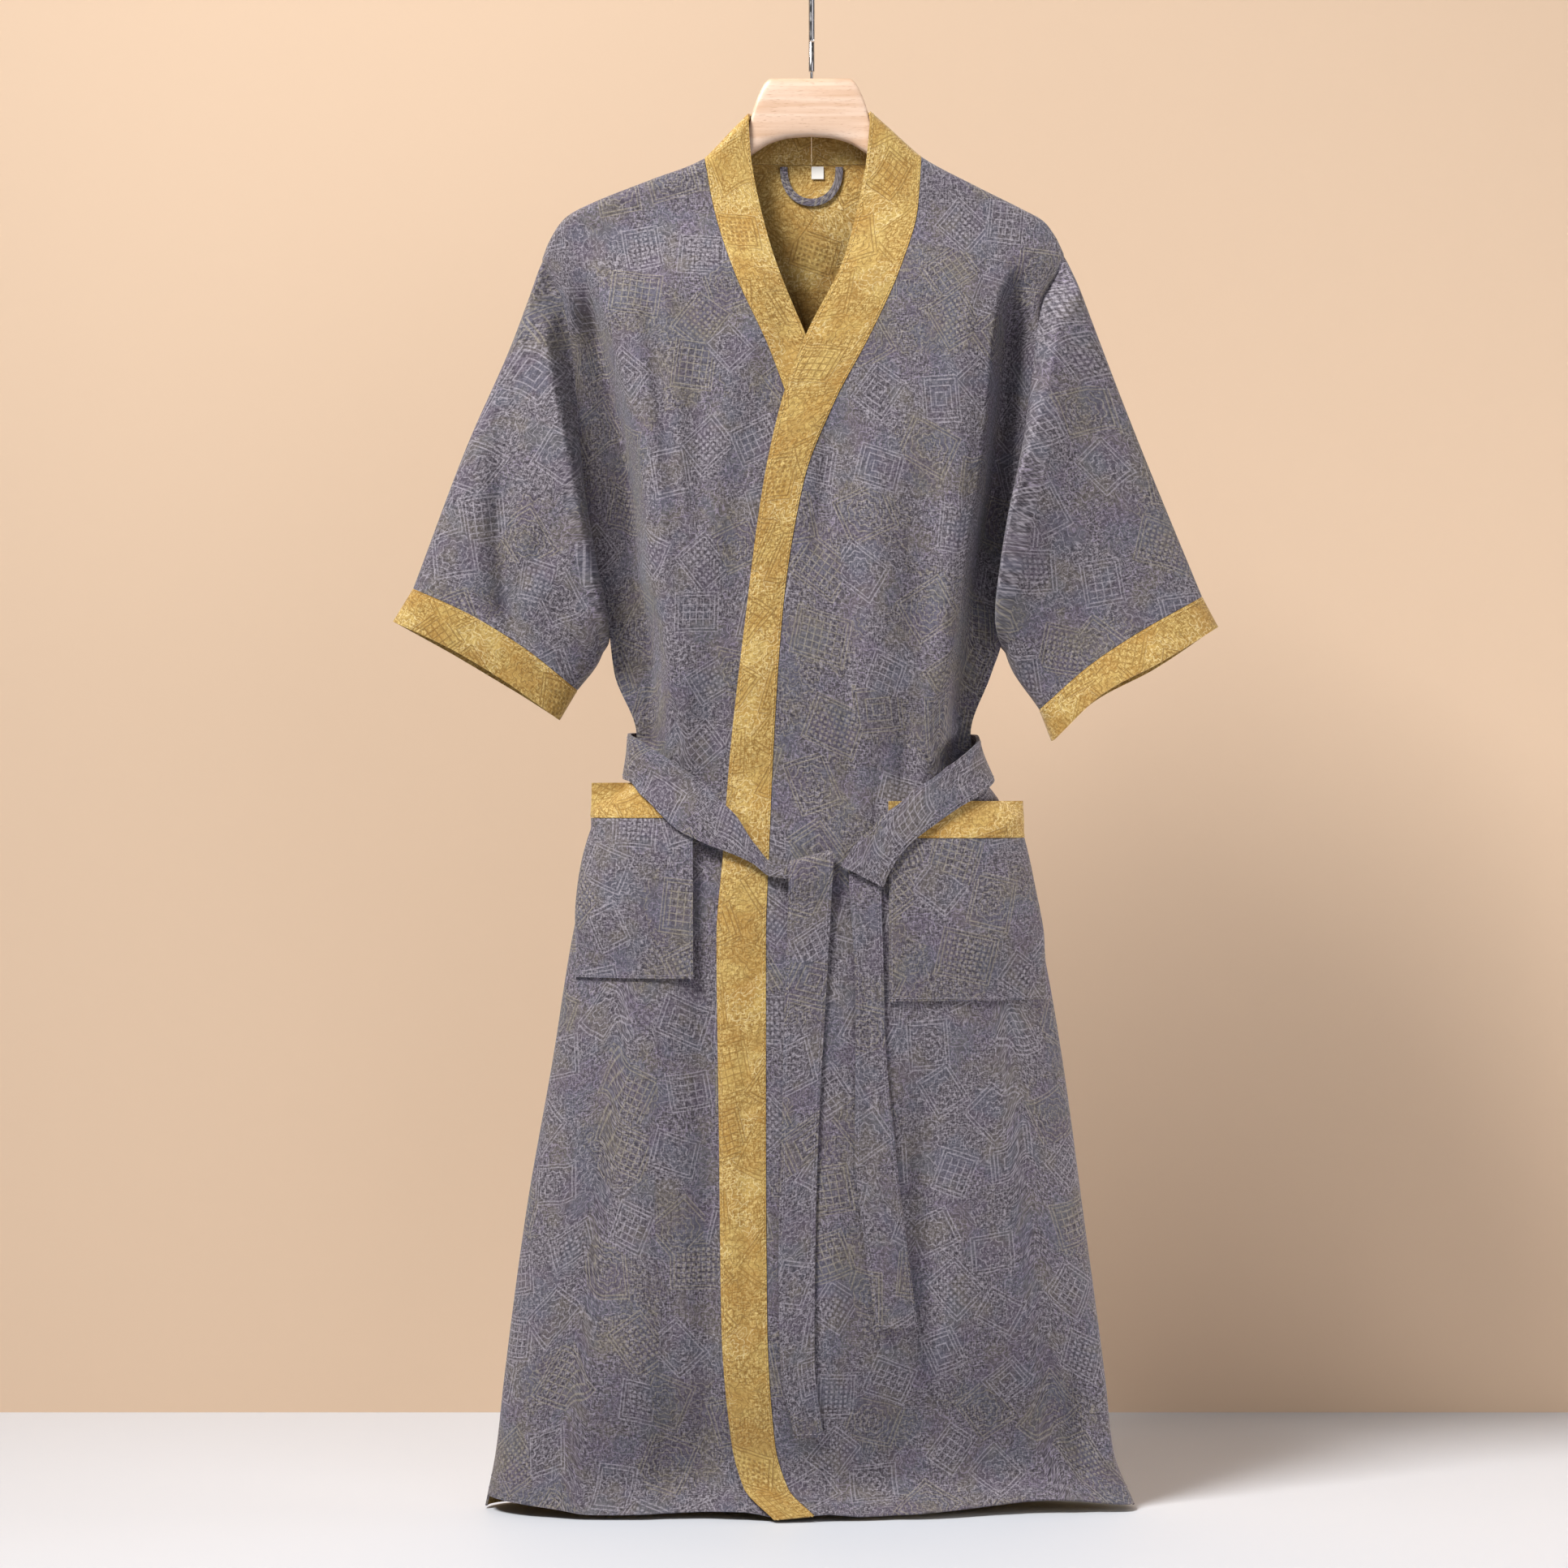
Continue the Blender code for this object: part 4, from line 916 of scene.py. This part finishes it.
sleeve_left_rows = sleeve_rows(
    1, SLEEVE_TOP_RIGHT, SLEEVE_LOW_RIGHT, CUFF_SEAM_RIGHT, right_side, ARM_TOP_RIGHT)
sleeve_left = cloth("left_sleeve", sleeve_left_rows, grey_gauze, mustard_gauze, ring=True, turned=True,
                    spread=sleeve_spread(sleeve_left_rows), shift=(2.4, 0.15))
sew_on(sleeve_left, "sleeve_left")
sleeve_right_rows = sleeve_rows(
    -1, SLEEVE_TOP_LEFT, SLEEVE_LOW_LEFT, CUFF_SEAM_LEFT, left_side, ARM_TOP_LEFT)
sleeve_right = cloth("right_sleeve", sleeve_right_rows, grey_gauze, mustard_gauze, ring=True,
                     spread=sleeve_spread(sleeve_right_rows), shift=(3.3, 0.52))
sew_on(sleeve_right, "sleeve_right")


# Cuffs: mustard bands folded double and sewn round the sleeve ends. Both hang a little lower
# at the back, and the front edge of each leans its own way.
CUFF_PROUD = 0.6        # how far a cuff stands off the sleeve, and how far it rounds out
CUFF_PUFF = 0.5
CUFF_HANG = 5.0         # how much lower its back hangs than its front


def build_cuff(name, ring, seam, hem, flare, turned, shift):
    from_x, from_drop = follow(seam, "x", "part"), follow(seam, "drop", "part")
    to_x, to_drop = follow(hem, "x", "part"), follow(hem, "drop", "part")

    def at(out, step):
        share, face = RING[step]
        move_x, move_drop = to_x(share) - from_x(share), to_drop(share) - from_drop(share)
        length = math.hypot(move_x, move_drop)
        move = point(move_x, 0, move_drop) * max(out, SEAM / length)
        bow = math.sin(math.pi * share)
        puff = CUFF_PUFF * math.sin(math.pi * out) ** 0.5
        proud = (CUFF_PROUD + puff) * (4 * share * (1 - share)) ** 0.5
        hang = CUFF_HANG * out * bow if face < 0 else 0.0
        proud += flare * out * bow if face > 0 else 0.0
        return ring[step] + move + point(0, -proud * face, hang)
    count = 5 * dense
    rows = grid([i / count for i in range(count + 1)], range(len(RING)), at)
    return cloth(name, rows, mustard_gauze, mustard_gauze, wall=BAND_WALL, ring=True, turned=turned,
                 shift=shift)


cuff_left = build_cuff("left_cuff", sleeve_left_rows[-1], CUFF_SEAM_RIGHT, CUFF_HEM_RIGHT,
                       flare=10.0, turned=True, shift=(4.1, 0.2))
sew_on(cuff_left, "cuff_left")
cuff_right = build_cuff("right_cuff", sleeve_right_rows[-1], CUFF_SEAM_LEFT, CUFF_HEM_LEFT,
                        flare=-4.0, turned=False, shift=(4.9, 0.6))
sew_on(cuff_right, "cuff_right")


# The belt is a long tube pressed flat. It goes round the waist over the pockets and crosses
# at the front; the long tail folds over the crossing and the short one hangs from behind.
BELT_WALL = 2.8
BELT_OFF = 5.4          # from the body, over the pockets
BELT_EDGE = 0.7         # how far its folded edges turn in
TAIL_EDGE = 0.6
Belt = namedtuple("Belt", "run turn_top top turn_low low")
BELT = [
    Belt(0, 0, 762, -1, 774), Belt(20, -8, 760, -9, 771), Belt(40, -14, 743, -14, 760),
    Belt(60, -20.5, 719, -20.5, 751), Belt(80, -27, 706, -27, 744), Belt(105, -36, 690, -36, 734),
    Belt(140, -53, 668, -53, 709), Belt(190, -78, 651, -78, 691), Belt(240, -100, 647, -100, 687),
    Belt(370, -180, 644, -180, 683), Belt(500, -262, 649, -262, 690),
    Belt(550, -274, 655, -274, 693), Belt(588, -286, 661, -286, 697), Belt(622, -311, 680.4, -310, 712),
    Belt(648, -326.8, 700, -322.3, 727.3), Belt(674, -338.4, 720.3, -332.5, 746.9),
    Belt(696, -346.5, 742, -337.7, 766), Belt(712, -351, 762, -340, 780),
]
Tail = namedtuple("Tail", "drop left right off tilt")
TAIL_LONG = [
    Tail(747.5, -18, 16, 6.5, 9), Tail(749, -19.5, 17.5, 10.5, 9), Tail(753, -20, 18, 12.3, 9),
    Tail(765, -20, 17.5, 12.3, 6), Tail(795, -20.5, 16, 7, 2), Tail(865, -23, 12, 3.9, 0),
    Tail(996, -26, 5, 3.9, 0), Tail(1089, -28.5, 2.5, 3.9, 0), Tail(1180, -27, 2, 3.9, 0),
    Tail(1246, -15, 10, 4.5, 0),
]
TAIL_SHORT = [
    Tail(768, 31, 58.8, 4.1, 0), Tail(790, 32, 58.8, 4.1, 0), Tail(850, 36, 60.5, 3.9, 0),
    Tail(900, 37, 61.5, 3.9, 0), Tail(996, 36, 70, 3.9, 0), Tail(1080, 44, 80, 3.9, 0),
    Tail(1153, 54, 90, 4.5, 0),
]


def round_body(turn, drop):
    """A place on the outside of the body, by its angle from the middle of the front."""
    left, right = left_side(drop), right_side(drop)
    angle = math.radians(turn)
    x = (left + right) / 2 + (right - left) / 2 * math.sin(angle)
    if math.cos(angle) > 0:
        return point(x, -body_depth("front", x, drop, valleys=False), drop)
    return point(x, body_depth("back", x, drop, valleys=False), drop)


def turn_at(x, drop):
    """The angle of a place on the front."""
    left, right = left_side(drop), right_side(drop)
    return math.degrees(math.asin(max(-1.0, min(1.0, (2 * x - left - right) / (right - left)))))


def off_body(turn, drop, off):
    """A place a set distance off the outside of the body."""
    across = round_body(turn + 2, drop) - round_body(turn - 2, drop)
    down = round_body(turn, drop + 2) - round_body(turn, drop - 2)
    normal = down.cross(across)
    normal.normalize()
    return round_body(turn, drop) + normal * off * 0.001


def build_belt_waist():
    columns = {name: follow(BELT, name, "run") for name in Belt._fields[1:]}
    stations, parts = 130 * dense, 6 * dense

    def at(step, i):
        run, part = BELT[-1].run * step / stations, i / parts
        turn = mix(columns["turn_top"](run), columns["turn_low"](run), part)
        drop = mix(columns["top"](run), columns["low"](run), part)
        return off_body(turn, drop, BELT_OFF + BELT_WALL - BELT_EDGE * (2 * part - 1) ** 6)
    rows = grid(range(stations + 1), range(parts + 1), at)
    return cloth("belt", rows, grey_gauze, grey_gauze, wall=BELT_WALL, shift=(5.3, 0.1))


def build_tail(name, table, shift):
    left, right, off, tilt = (follow(table, name) for name in ("left", "right", "off", "tilt"))
    top, low = table[0].drop, table[-1].drop
    drops = [mix(top, top + 20, (i / 20) ** 1.5) for i in range(20)]
    count, parts = 60 * dense, 8 * dense
    drops += [mix(top + 20, low, i / count) for i in range(count + 1)]

    def at(drop, i):
        part = i / parts
        x, low_at = mix(left(drop), right(drop), part), drop + tilt(drop) * (1 - part)
        return point(x, front_y(x, low_at) - off(drop) + TAIL_EDGE * (2 * part - 1) ** 6, low_at)
    rows = grid(drops, range(parts + 1), at)
    return cloth(name, rows, grey_gauze, grey_gauze, wall=BELT_WALL, shift=shift)


belt = build_belt_waist()
sew_on(belt, "belt_waist")
long_tail = build_tail("long_tail", TAIL_LONG, (6.1, 0.4))
sew_on(long_tail, "belt_tail_long")
short_tail = build_tail("short_tail", TAIL_SHORT, (6.6, 0.8))
sew_on(short_tail, "belt_tail_short")


# Patch pockets of the outer cloth with a mustard band along the top, sewn to the fronts
# down both sides and along the foot.
Pocket = namedtuple("Pocket", "side turn turn_foot edge mouth seam foot hang")
POCKETS = [
    Pocket("right", -87, -72, -101, 691, 721, 857, 730),
    Pocket("left", 87, 76, 65, 706.5, 738, 876, 735),
]
POCKET_OFF_TOP = 2.2
POCKET_OFF_LOW = 0.8
POCKET_FULL = 9.0


def build_pocket(pocket):
    belt_low = follow([row for row in BELT if row.run <= 240][::-1], "low", "turn_low")
    if pocket.side == "left":
        shifted = [row._replace(turn_low=row.turn_low + 360) for row in BELT if row.run >= 500]
        belt_low = follow(shifted[::-1], "low", "turn_low")
    steps = 24 * dense

    def rows(levels, wall):
        made = []
        for level in levels:
            inner = turn_at(pocket.edge, max(level, pocket.hang - 30))
            row = []
            for step in range(steps + 1):
                part = step / steps
                outer = mix(pocket.turn, pocket.turn_foot, ease(level, pocket.hang, pocket.foot))
                turn = mix(inner, outer, math.sin(math.pi / 2 * part))
                low = belt_low(turn)
                pressed = (1 - ease(abs(turn), 78, 86)) * (1 - ease(level, low + 5, low + 30))
                pressed = max(pressed, 1 - ease(part, 0, 0.3))
                puff = math.sin(math.pi * part) ** 0.7 * ease(pocket.foot - level, 0, 60) * (1 - pressed)
                gap = mix(POCKET_OFF_TOP, POCKET_OFF_LOW, ease(level, pocket.seam, pocket.foot))
                off = gap + wall + POCKET_FULL * puff
                hung = off_body(turn, max(level, pocket.hang), off)
                spot = mix(hung, off_body(turn, level, off), pressed)
                spot.z = -level * 0.001
                row.append(spot)
            made.append(row)
        return made
    bag_count, strip_count = 28 * dense, 8 * dense
    bag = [mix(pocket.seam + SEAM, pocket.foot, i / bag_count) for i in range(bag_count + 1)]
    strip = [mix(pocket.mouth, pocket.seam - SEAM, i / strip_count) for i in range(strip_count + 1)]
    turned = pocket.side == "right"
    bag = cloth(pocket.side + "_pocket", rows(bag, CLOTH_WALL), grey_gauze, mustard_gauze, turned=turned,
                shift=(7.2 if turned else 7.7, 0.3))
    sew_on(bag, "pocket_" + pocket.side)
    strip = cloth(pocket.side + "_pocket_band", rows(strip, BAND_WALL), mustard_gauze, mustard_gauze,
                  wall=BAND_WALL, turned=turned, shift=(8.4 if turned else 8.9, 0.7))
    sew_on(strip, "pocket_band_" + pocket.side)


for pocket in POCKETS:
    build_pocket(pocket)


# A hanging loop of the outer cloth and a small woven label, both caught in the back neck
# seam. The label is left bare.
LOOP = dict(half=24, drop=31, width=6.5, wall=1.6, gap=0.7)
LABEL = dict(left=0, right=10.5, top=157, low=168, wall=1.0, gap=0.6)

loop_rows = []
loop_steps = 48
for step in range(loop_steps + 1):
    angle = math.pi * step / loop_steps
    x, drop = -LOOP["half"] * math.cos(angle), BACK_NECK + 2 + LOOP["drop"] * math.sin(angle) ** 0.8
    out = Vector((-math.cos(angle), math.sin(angle))) * LOOP["width"] / 2
    row = []
    for i in range(5):
        part = 1 - i / 2
        spot_x, spot_drop = x + out.x * part, drop + out.y * part
        y = back_y(spot_x, max(spot_drop, BACK_NECK)) - CLOTH_WALL - LOOP["gap"] - LOOP["wall"]
        row.append(point(spot_x, y - 0.4 * (1 - part * part), spot_drop))
    loop_rows.append(row)
loop = cloth("hanging_loop", loop_rows, grey_gauze, grey_gauze, wall=LOOP["wall"], shift=(9.5, 0.2))
sew_on(loop, "hang_loop")

label_white = make_material("white satin ribbon", "#eceae4", 0.5, Sheen_Weight=0.1)[0]
label_rows = []
for i in range(7):
    drop = mix(LABEL["top"], LABEL["low"], i / 6)
    y = back_y(LABEL["right"], drop) - CLOTH_WALL - LABEL["gap"] - LABEL["wall"]
    label_rows.append([point(mix(LABEL["left"], LABEL["right"], j / 6), y, drop) for j in range(7)])
label = cloth("bare_label", label_rows, label_white, label_white, wall=LABEL["wall"])
sew_on(label, "size_label")


# Lines of lockstitch hold the hems, the bands, the cuffs, the pockets and the belt's edges.
# The thread is matt spun cotton, near the colour of the cloth, and a stitch is 2.6 mm long.
STITCH_PITCH = 0.0034
STITCH_LENGTH = 0.0026
STITCH_WIDTH = 0.0008
STITCH_PROUD = 0.00012   # how far the middle of a stitch stands off the cloth


def from_foot(rows):
    """The columns of a piece, each from its lower edge up."""
    return [[row[j] for row in rows[::-1]] for j in range(len(rows[0]))]


def from_end(rows):
    return [row[::-1] for row in rows]


def from_top(rows):
    """The columns of a cuff, each from its seam out, with the first one again at the end."""
    return [[row[j % len(row)] for row in rows] for j in range(len(rows[0]) + 1)]


def same(rows):
    return rows


Stitching = namedtuple("Stitching", "piece lines inset")
ALL_ROUND = (same, from_end, from_foot)
STITCHING = {
    "grey": (
        [Stitching(piece, from_foot, 16) for piece in ("back", "over_front", "under_front")]
        + [Stitching(piece, way, 2.4) for piece in ("right_pocket", "left_pocket") for way in ALL_ROUND]
        + [Stitching("belt", way, 3) for way in ALL_ROUND[:2]]
        + [Stitching(piece, way, 3) for piece in ("long_tail", "short_tail") for way in ALL_ROUND]),
    "mustard": [
        Stitching("over_band", same, 2.2), Stitching("over_band", from_end, 3.2),
        Stitching("under_band", same, 2.2), Stitching("under_band", from_end, 3.2),
        Stitching("left_cuff", from_top, 2.2), Stitching("right_cuff", from_top, 2.2),
        Stitching("right_pocket_band", from_foot, 2.2), Stitching("left_pocket_band", from_foot, 2.2),
    ],
}
spun_cotton = {
    "grey": make_material("grey spun cotton thread", "#918b95", 0.8, Sheen_Weight=0.1)[0],
    "mustard": make_material("mustard spun cotton thread", "#d2b473", 0.8, Sheen_Weight=0.1)[0],
}


def stitch_path(lines, inset, piece):
    """A line on the cloth, this far in from the edge where the lines of points start."""
    path = []
    for line_of_points in lines:
        left = inset * 0.001
        for a, b in zip(line_of_points, line_of_points[1:]):
            step = (b - a).length
            if step >= left:
                _, spot, normal, _ = piece.closest_point_on_mesh(a.lerp(b, left / step))
                path.append(spot + normal * STITCH_PROUD)
                break
            left -= step
    return path


def stitch_tree():
    """Geometry nodes: a row of stitches along each line."""
    tree = bpy.data.node_groups.new("lockstitch", "GeometryNodeTree")
    for name, kind in (("Geometry", "Geometry"), ("Pitch", "Float"), ("Length", "Float"), ("Width", "Float"),
                       ("Seed", "Int"), ("Thread", "Material")):
        tree.interface.new_socket(name, in_out="INPUT", socket_type="NodeSocket" + kind)
    tree.interface.new_socket("Geometry", in_out="OUTPUT", socket_type="NodeSocketGeometry")
    given = add(tree, "NodeGroupInput").outputs
    lines = add(tree, "GeometryNodeMeshToCurve", {"Mesh": given["Geometry"]})
    points = add(tree, "GeometryNodeCurveToPoints", {"Curve": lines.outputs[0], "Length": given["Pitch"]},
                 mode="LENGTH")
    drawn = add(tree, "GeometryNodeMeshUVSphere", {"Segments": 6, "Rings": 4, "Radius": 0.5})
    uneven = add(tree, "FunctionNodeRandomValue", {2: 0.86, 3: 1.04, "Seed": given["Seed"]},
                 data_type="FLOAT")
    long = add(tree, "ShaderNodeMath", {0: given["Length"], 1: uneven.outputs[1]}, operation="MULTIPLY")
    size = add(tree, "ShaderNodeCombineXYZ", {"X": given["Width"], "Y": given["Width"], "Z": long.outputs[0]})
    sewn = add(tree, "GeometryNodeInstanceOnPoints", {
        "Points": points.outputs["Points"], "Instance": drawn.outputs["Mesh"],
        "Rotation": points.outputs["Rotation"], "Scale": size.outputs[0]})
    real = add(tree, "GeometryNodeRealizeInstances", {"Geometry": sewn.outputs[0]})
    smooth = add(tree, "GeometryNodeSetShadeSmooth", {"Geometry": real.outputs[0]})
    threaded = add(tree, "GeometryNodeSetMaterial", {"Geometry": smooth.outputs[0],
                   "Material": given["Thread"]})
    add(tree, "NodeGroupOutput", {"Geometry": threaded.outputs[0]})
    return tree


lockstitch = stitch_tree()
bpy.context.view_layer.update()
for colour, rows_of_stitches in STITCHING.items():
    points, edges = [], []
    for stitching in rows_of_stitches:
        lines = stitching.lines(outsides[stitching.piece])
        path = stitch_path(lines, stitching.inset, bpy.data.objects[stitching.piece])
        edges += [(len(points) + i, len(points) + i + 1) for i in range(len(path) - 1)]
        points += path
    mesh = bpy.data.meshes.new("stitches_" + colour)
    mesh.from_pydata(points, edges, [])
    stitches = place("stitches_" + colour, mesh)
    sewing = stitches.modifiers.new("lockstitch", "NODES")
    sewing.node_group = lockstitch
    values = {"Pitch": STITCH_PITCH, "Length": STITCH_LENGTH, "Width": STITCH_WIDTH, "Seed": 7,
              "Thread": spun_cotton[colour]}
    for socket in lockstitch.interface.items_tree:
        if socket.in_out == "INPUT" and socket.name in values:
            sewing[socket.identifier] = values[socket.name]
    finished = stitches.evaluated_get(bpy.context.evaluated_depsgraph_get())
    plain = bpy.data.meshes.new_from_object(finished)
    stitches.modifiers.clear()
    stitches.data = plain
    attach(stitches, "root")


# The hanger's board is one piece of beech, sawn, rounded over and waxed. Its arms slope
# inside the shoulders and its underside is arched. The face is left bare.
Board = namedtuple("Board", "x top low half")
BOARD_MIDDLE = -1.2
BOARD = [
    Board(0, 84, 133.7, 6.8), Board(18, 84, 135, 6.8), Board(34, 84, 139.5, 6.8),
    Board(38, 86.5, 141.5, 6.8), Board(44, 97, 145.5, 6.8), Board(49.5, 112, 149, 6.8),
    Board(51.2, 119.5, 151, 6.8), Board(58, 130, 155, 6.2), Board(72, 145, 165, 6.2),
]
ARM_STATIONS = (94, 115, 140, 165, 185, 193)
ARM_DEEP = 22
ARM_CLEAR = 4.4         # between the arm's top and the ridge of the shoulder


def beech_wood():
    """Pale pinkish beech under a satin lacquer: fine grain along the board, short dark flecks."""
    material, shader = make_material("lacquered beech", "#e3c3a9", 0.42, Coat_Weight=0.25, Coat_Roughness=0.3)
    tree = material.node_tree
    spot = add(tree, "ShaderNodeTexCoord").outputs["Object"]

    def grain(long_mm, wide_mm, detail):
        scale = (1000 / long_mm, 1000 / wide_mm, 1000 / wide_mm)
        stretched = add(tree, "ShaderNodeMapping", {"Vector": spot, "Scale": scale}).outputs[0]
        return add(tree, "ShaderNodeTexNoise", {"Vector": stretched, "Scale": 1.0,
                   "Detail": detail}).outputs["Fac"]
    fleck = grain(6, 0.8, 1.0)
    years = colour_ramp(tree, grain(160, 7, 2.0), (0.35, "#d9b394"), (0.65, "#ecd0ba"))
    share = add(tree, "ShaderNodeMapRange", {"Value": fleck, "From Min": 0.60, "From Max": 0.78,
                "To Max": 0.55}).outputs[0]
    dark = add(tree, "ShaderNodeMix", {"Factor": share, 6: years, 7: linear("#b98b68")}, data_type="RGBA")
    tree.links.new(dark.outputs[2], shader.inputs["Base Color"])
    bump = add(tree, "ShaderNodeBump", {"Height": fleck, "Strength": 0.15, "Distance": 0.0003})
    tree.links.new(bump.outputs[0], shader.inputs["Normal"])
    return material


def bar(name, points, sides, sharp, material):
    """A solid bar with a skin over its rings of points and flat ends."""
    faces = []
    for start in range(0, len(points) - sides, sides):
        for step in range(sides):
            a, b = start + step, start + (step + 1) % sides
            faces.append((a, b, b + sides, a + sides))
    faces.append(tuple(range(sides))[::-1])
    faces.append(tuple(len(points) - sides + step for step in range(sides)))
    mesh = bpy.data.meshes.new(name)
    mesh.from_pydata(points, [], faces)
    mesh.shade_smooth()
    mesh.set_sharp_from_angle(angle=math.radians(sharp))
    return place(name, mesh, material)


def build_board():
    table = list(BOARD)
    for x in ARM_STATIONS:
        top = max(crest(BOARD_MIDDLE + x), crest(BOARD_MIDDLE - x)) + ARM_CLEAR
        table.append(Board(x, top, top + ARM_DEEP, 6.5))
    end = table[-1]
    table += [Board(196, end.top + 4, end.low - 1.4, 5.6), Board(197.5, end.top + 7, end.low - 3, 4.5)]
    top_at, low_at, half_at = (follow(table, name, "x") for name in ("top", "low", "half"))
    half_way = [i * 2.5 for i in range(73)] + [184 + i * 1.5 for i in range(1, 9)] + [197, 197.5]
    stations = [-x for x in half_way[:0:-1]] + half_way
    sides = 36
    points = []
    for x in stations:
        top, low, half = top_at(abs(x)), low_at(abs(x)), half_at(abs(x))
        for step in range(sides):
            angle = 2 * math.pi * (step + 0.5) / sides
            y = half * math.copysign(abs(math.cos(angle)) ** 0.5, math.cos(angle))
            up = math.copysign(abs(math.sin(angle)) ** 0.5, math.sin(angle))
            points.append(point(BOARD_MIDDLE + x, y, (top + low) / 2 - (low - top) / 2 * up))
    return bar("board", points, sides, 60, beech_wood())


board = build_board()
fit(board, "hanger_board")


# The hook is bent from one length of bright plated steel wire, with a rounded tip. Its stem
# stands on a short pin let into the top of the board.
HOOK_WIRE = 2.6
HOOK_ROUND = 20.0       # inside the hook
HOOK_LEG = 57.0         # how far the free end comes down at the front
HOOK_STEM = 77.7        # foot of the hook's stem
HANGER_TOP = 84.0
PIN_RADIUS = 1.3


def plated_steel():
    """Bright plated wire: mirror-like, with faint drawn lines along it and a few dull rubs."""
    material, shader = make_material("bright plated steel", "#c9c8c9", 0.2, Metallic=1.0)
    tree = material.node_tree
    spot = add(tree, "ShaderNodeTexCoord").outputs["Object"]
    rub = add(tree, "ShaderNodeTexNoise", {"Vector": spot, "Scale": 140.0, "Detail": 3.0}).outputs["Fac"]
    rough = add(tree, "ShaderNodeMapRange", {"Value": rub, "From Min": 0.4, "From Max": 0.7,
                "To Min": 0.16, "To Max": 0.34})
    tree.links.new(rough.outputs[0], shader.inputs["Roughness"])
    return material


steel = plated_steel()


def round_tube(name, path, radii, material, sides=20):
    """A round bar through places in the plane square to the hanger, (y, drop) in millimetres."""
    points = []
    side = Vector((1, 0, 0))
    for i, (y, drop) in enumerate(path):
        before, after = path[max(0, i - 1)], path[min(len(path) - 1, i + 1)]
        along = Vector((0, after[0] - before[0], before[1] - after[1])).normalized()
        other = along.cross(side)
        for step in range(sides):
            angle = 2 * math.pi * step / sides
            out = (side * math.cos(angle) + other * math.sin(angle)) * radii[i] * 0.001
            points.append(point(0, y, drop) + out)
    return bar(name, points, sides, 50, material)


def build_hook():
    middle = HOOK_ROUND + HOOK_WIRE
    path, radii = [], []
    for i in range(7):
        angle = math.pi / 2 * i / 6
        path.append((-middle, HOOK_LEG - HOOK_WIRE * (1 - math.cos(angle)) - 0.01 * i))
        radii.append(max(0.15, HOOK_WIRE * math.sin(angle)))
    path += [(-middle, mix(HOOK_LEG - HOOK_WIRE, HOOK_ROUND, i / 8)) for i in range(1, 8)]
    for i in range(34):
        angle = math.pi * i / 40
        path.append((-middle * math.cos(angle), HOOK_ROUND - middle * math.sin(angle)))
    bend_y, bend_drop = path[-1]
    for i in range(1, 25):
        t = i / 24
        path.append((bend_y * (1 - ease(t, 0, 1)), mix(bend_drop, HOOK_STEM, t)))
    radii += [HOOK_WIRE] * (len(path) - len(radii))
    return round_tube("hook", path, radii, steel)


hook = build_hook()
fit(hook, "hanger_hook")
pin_top, pin_low = HOOK_STEM + SEAM, HANGER_TOP - SEAM
pin_path = [(0, mix(pin_top, pin_low, i / 6)) for i in range(7)]
pin = round_tube("pin", pin_path, [1.15] + [PIN_RADIUS] * 6, steel, sides=24)
fit(pin, "hook_pin")
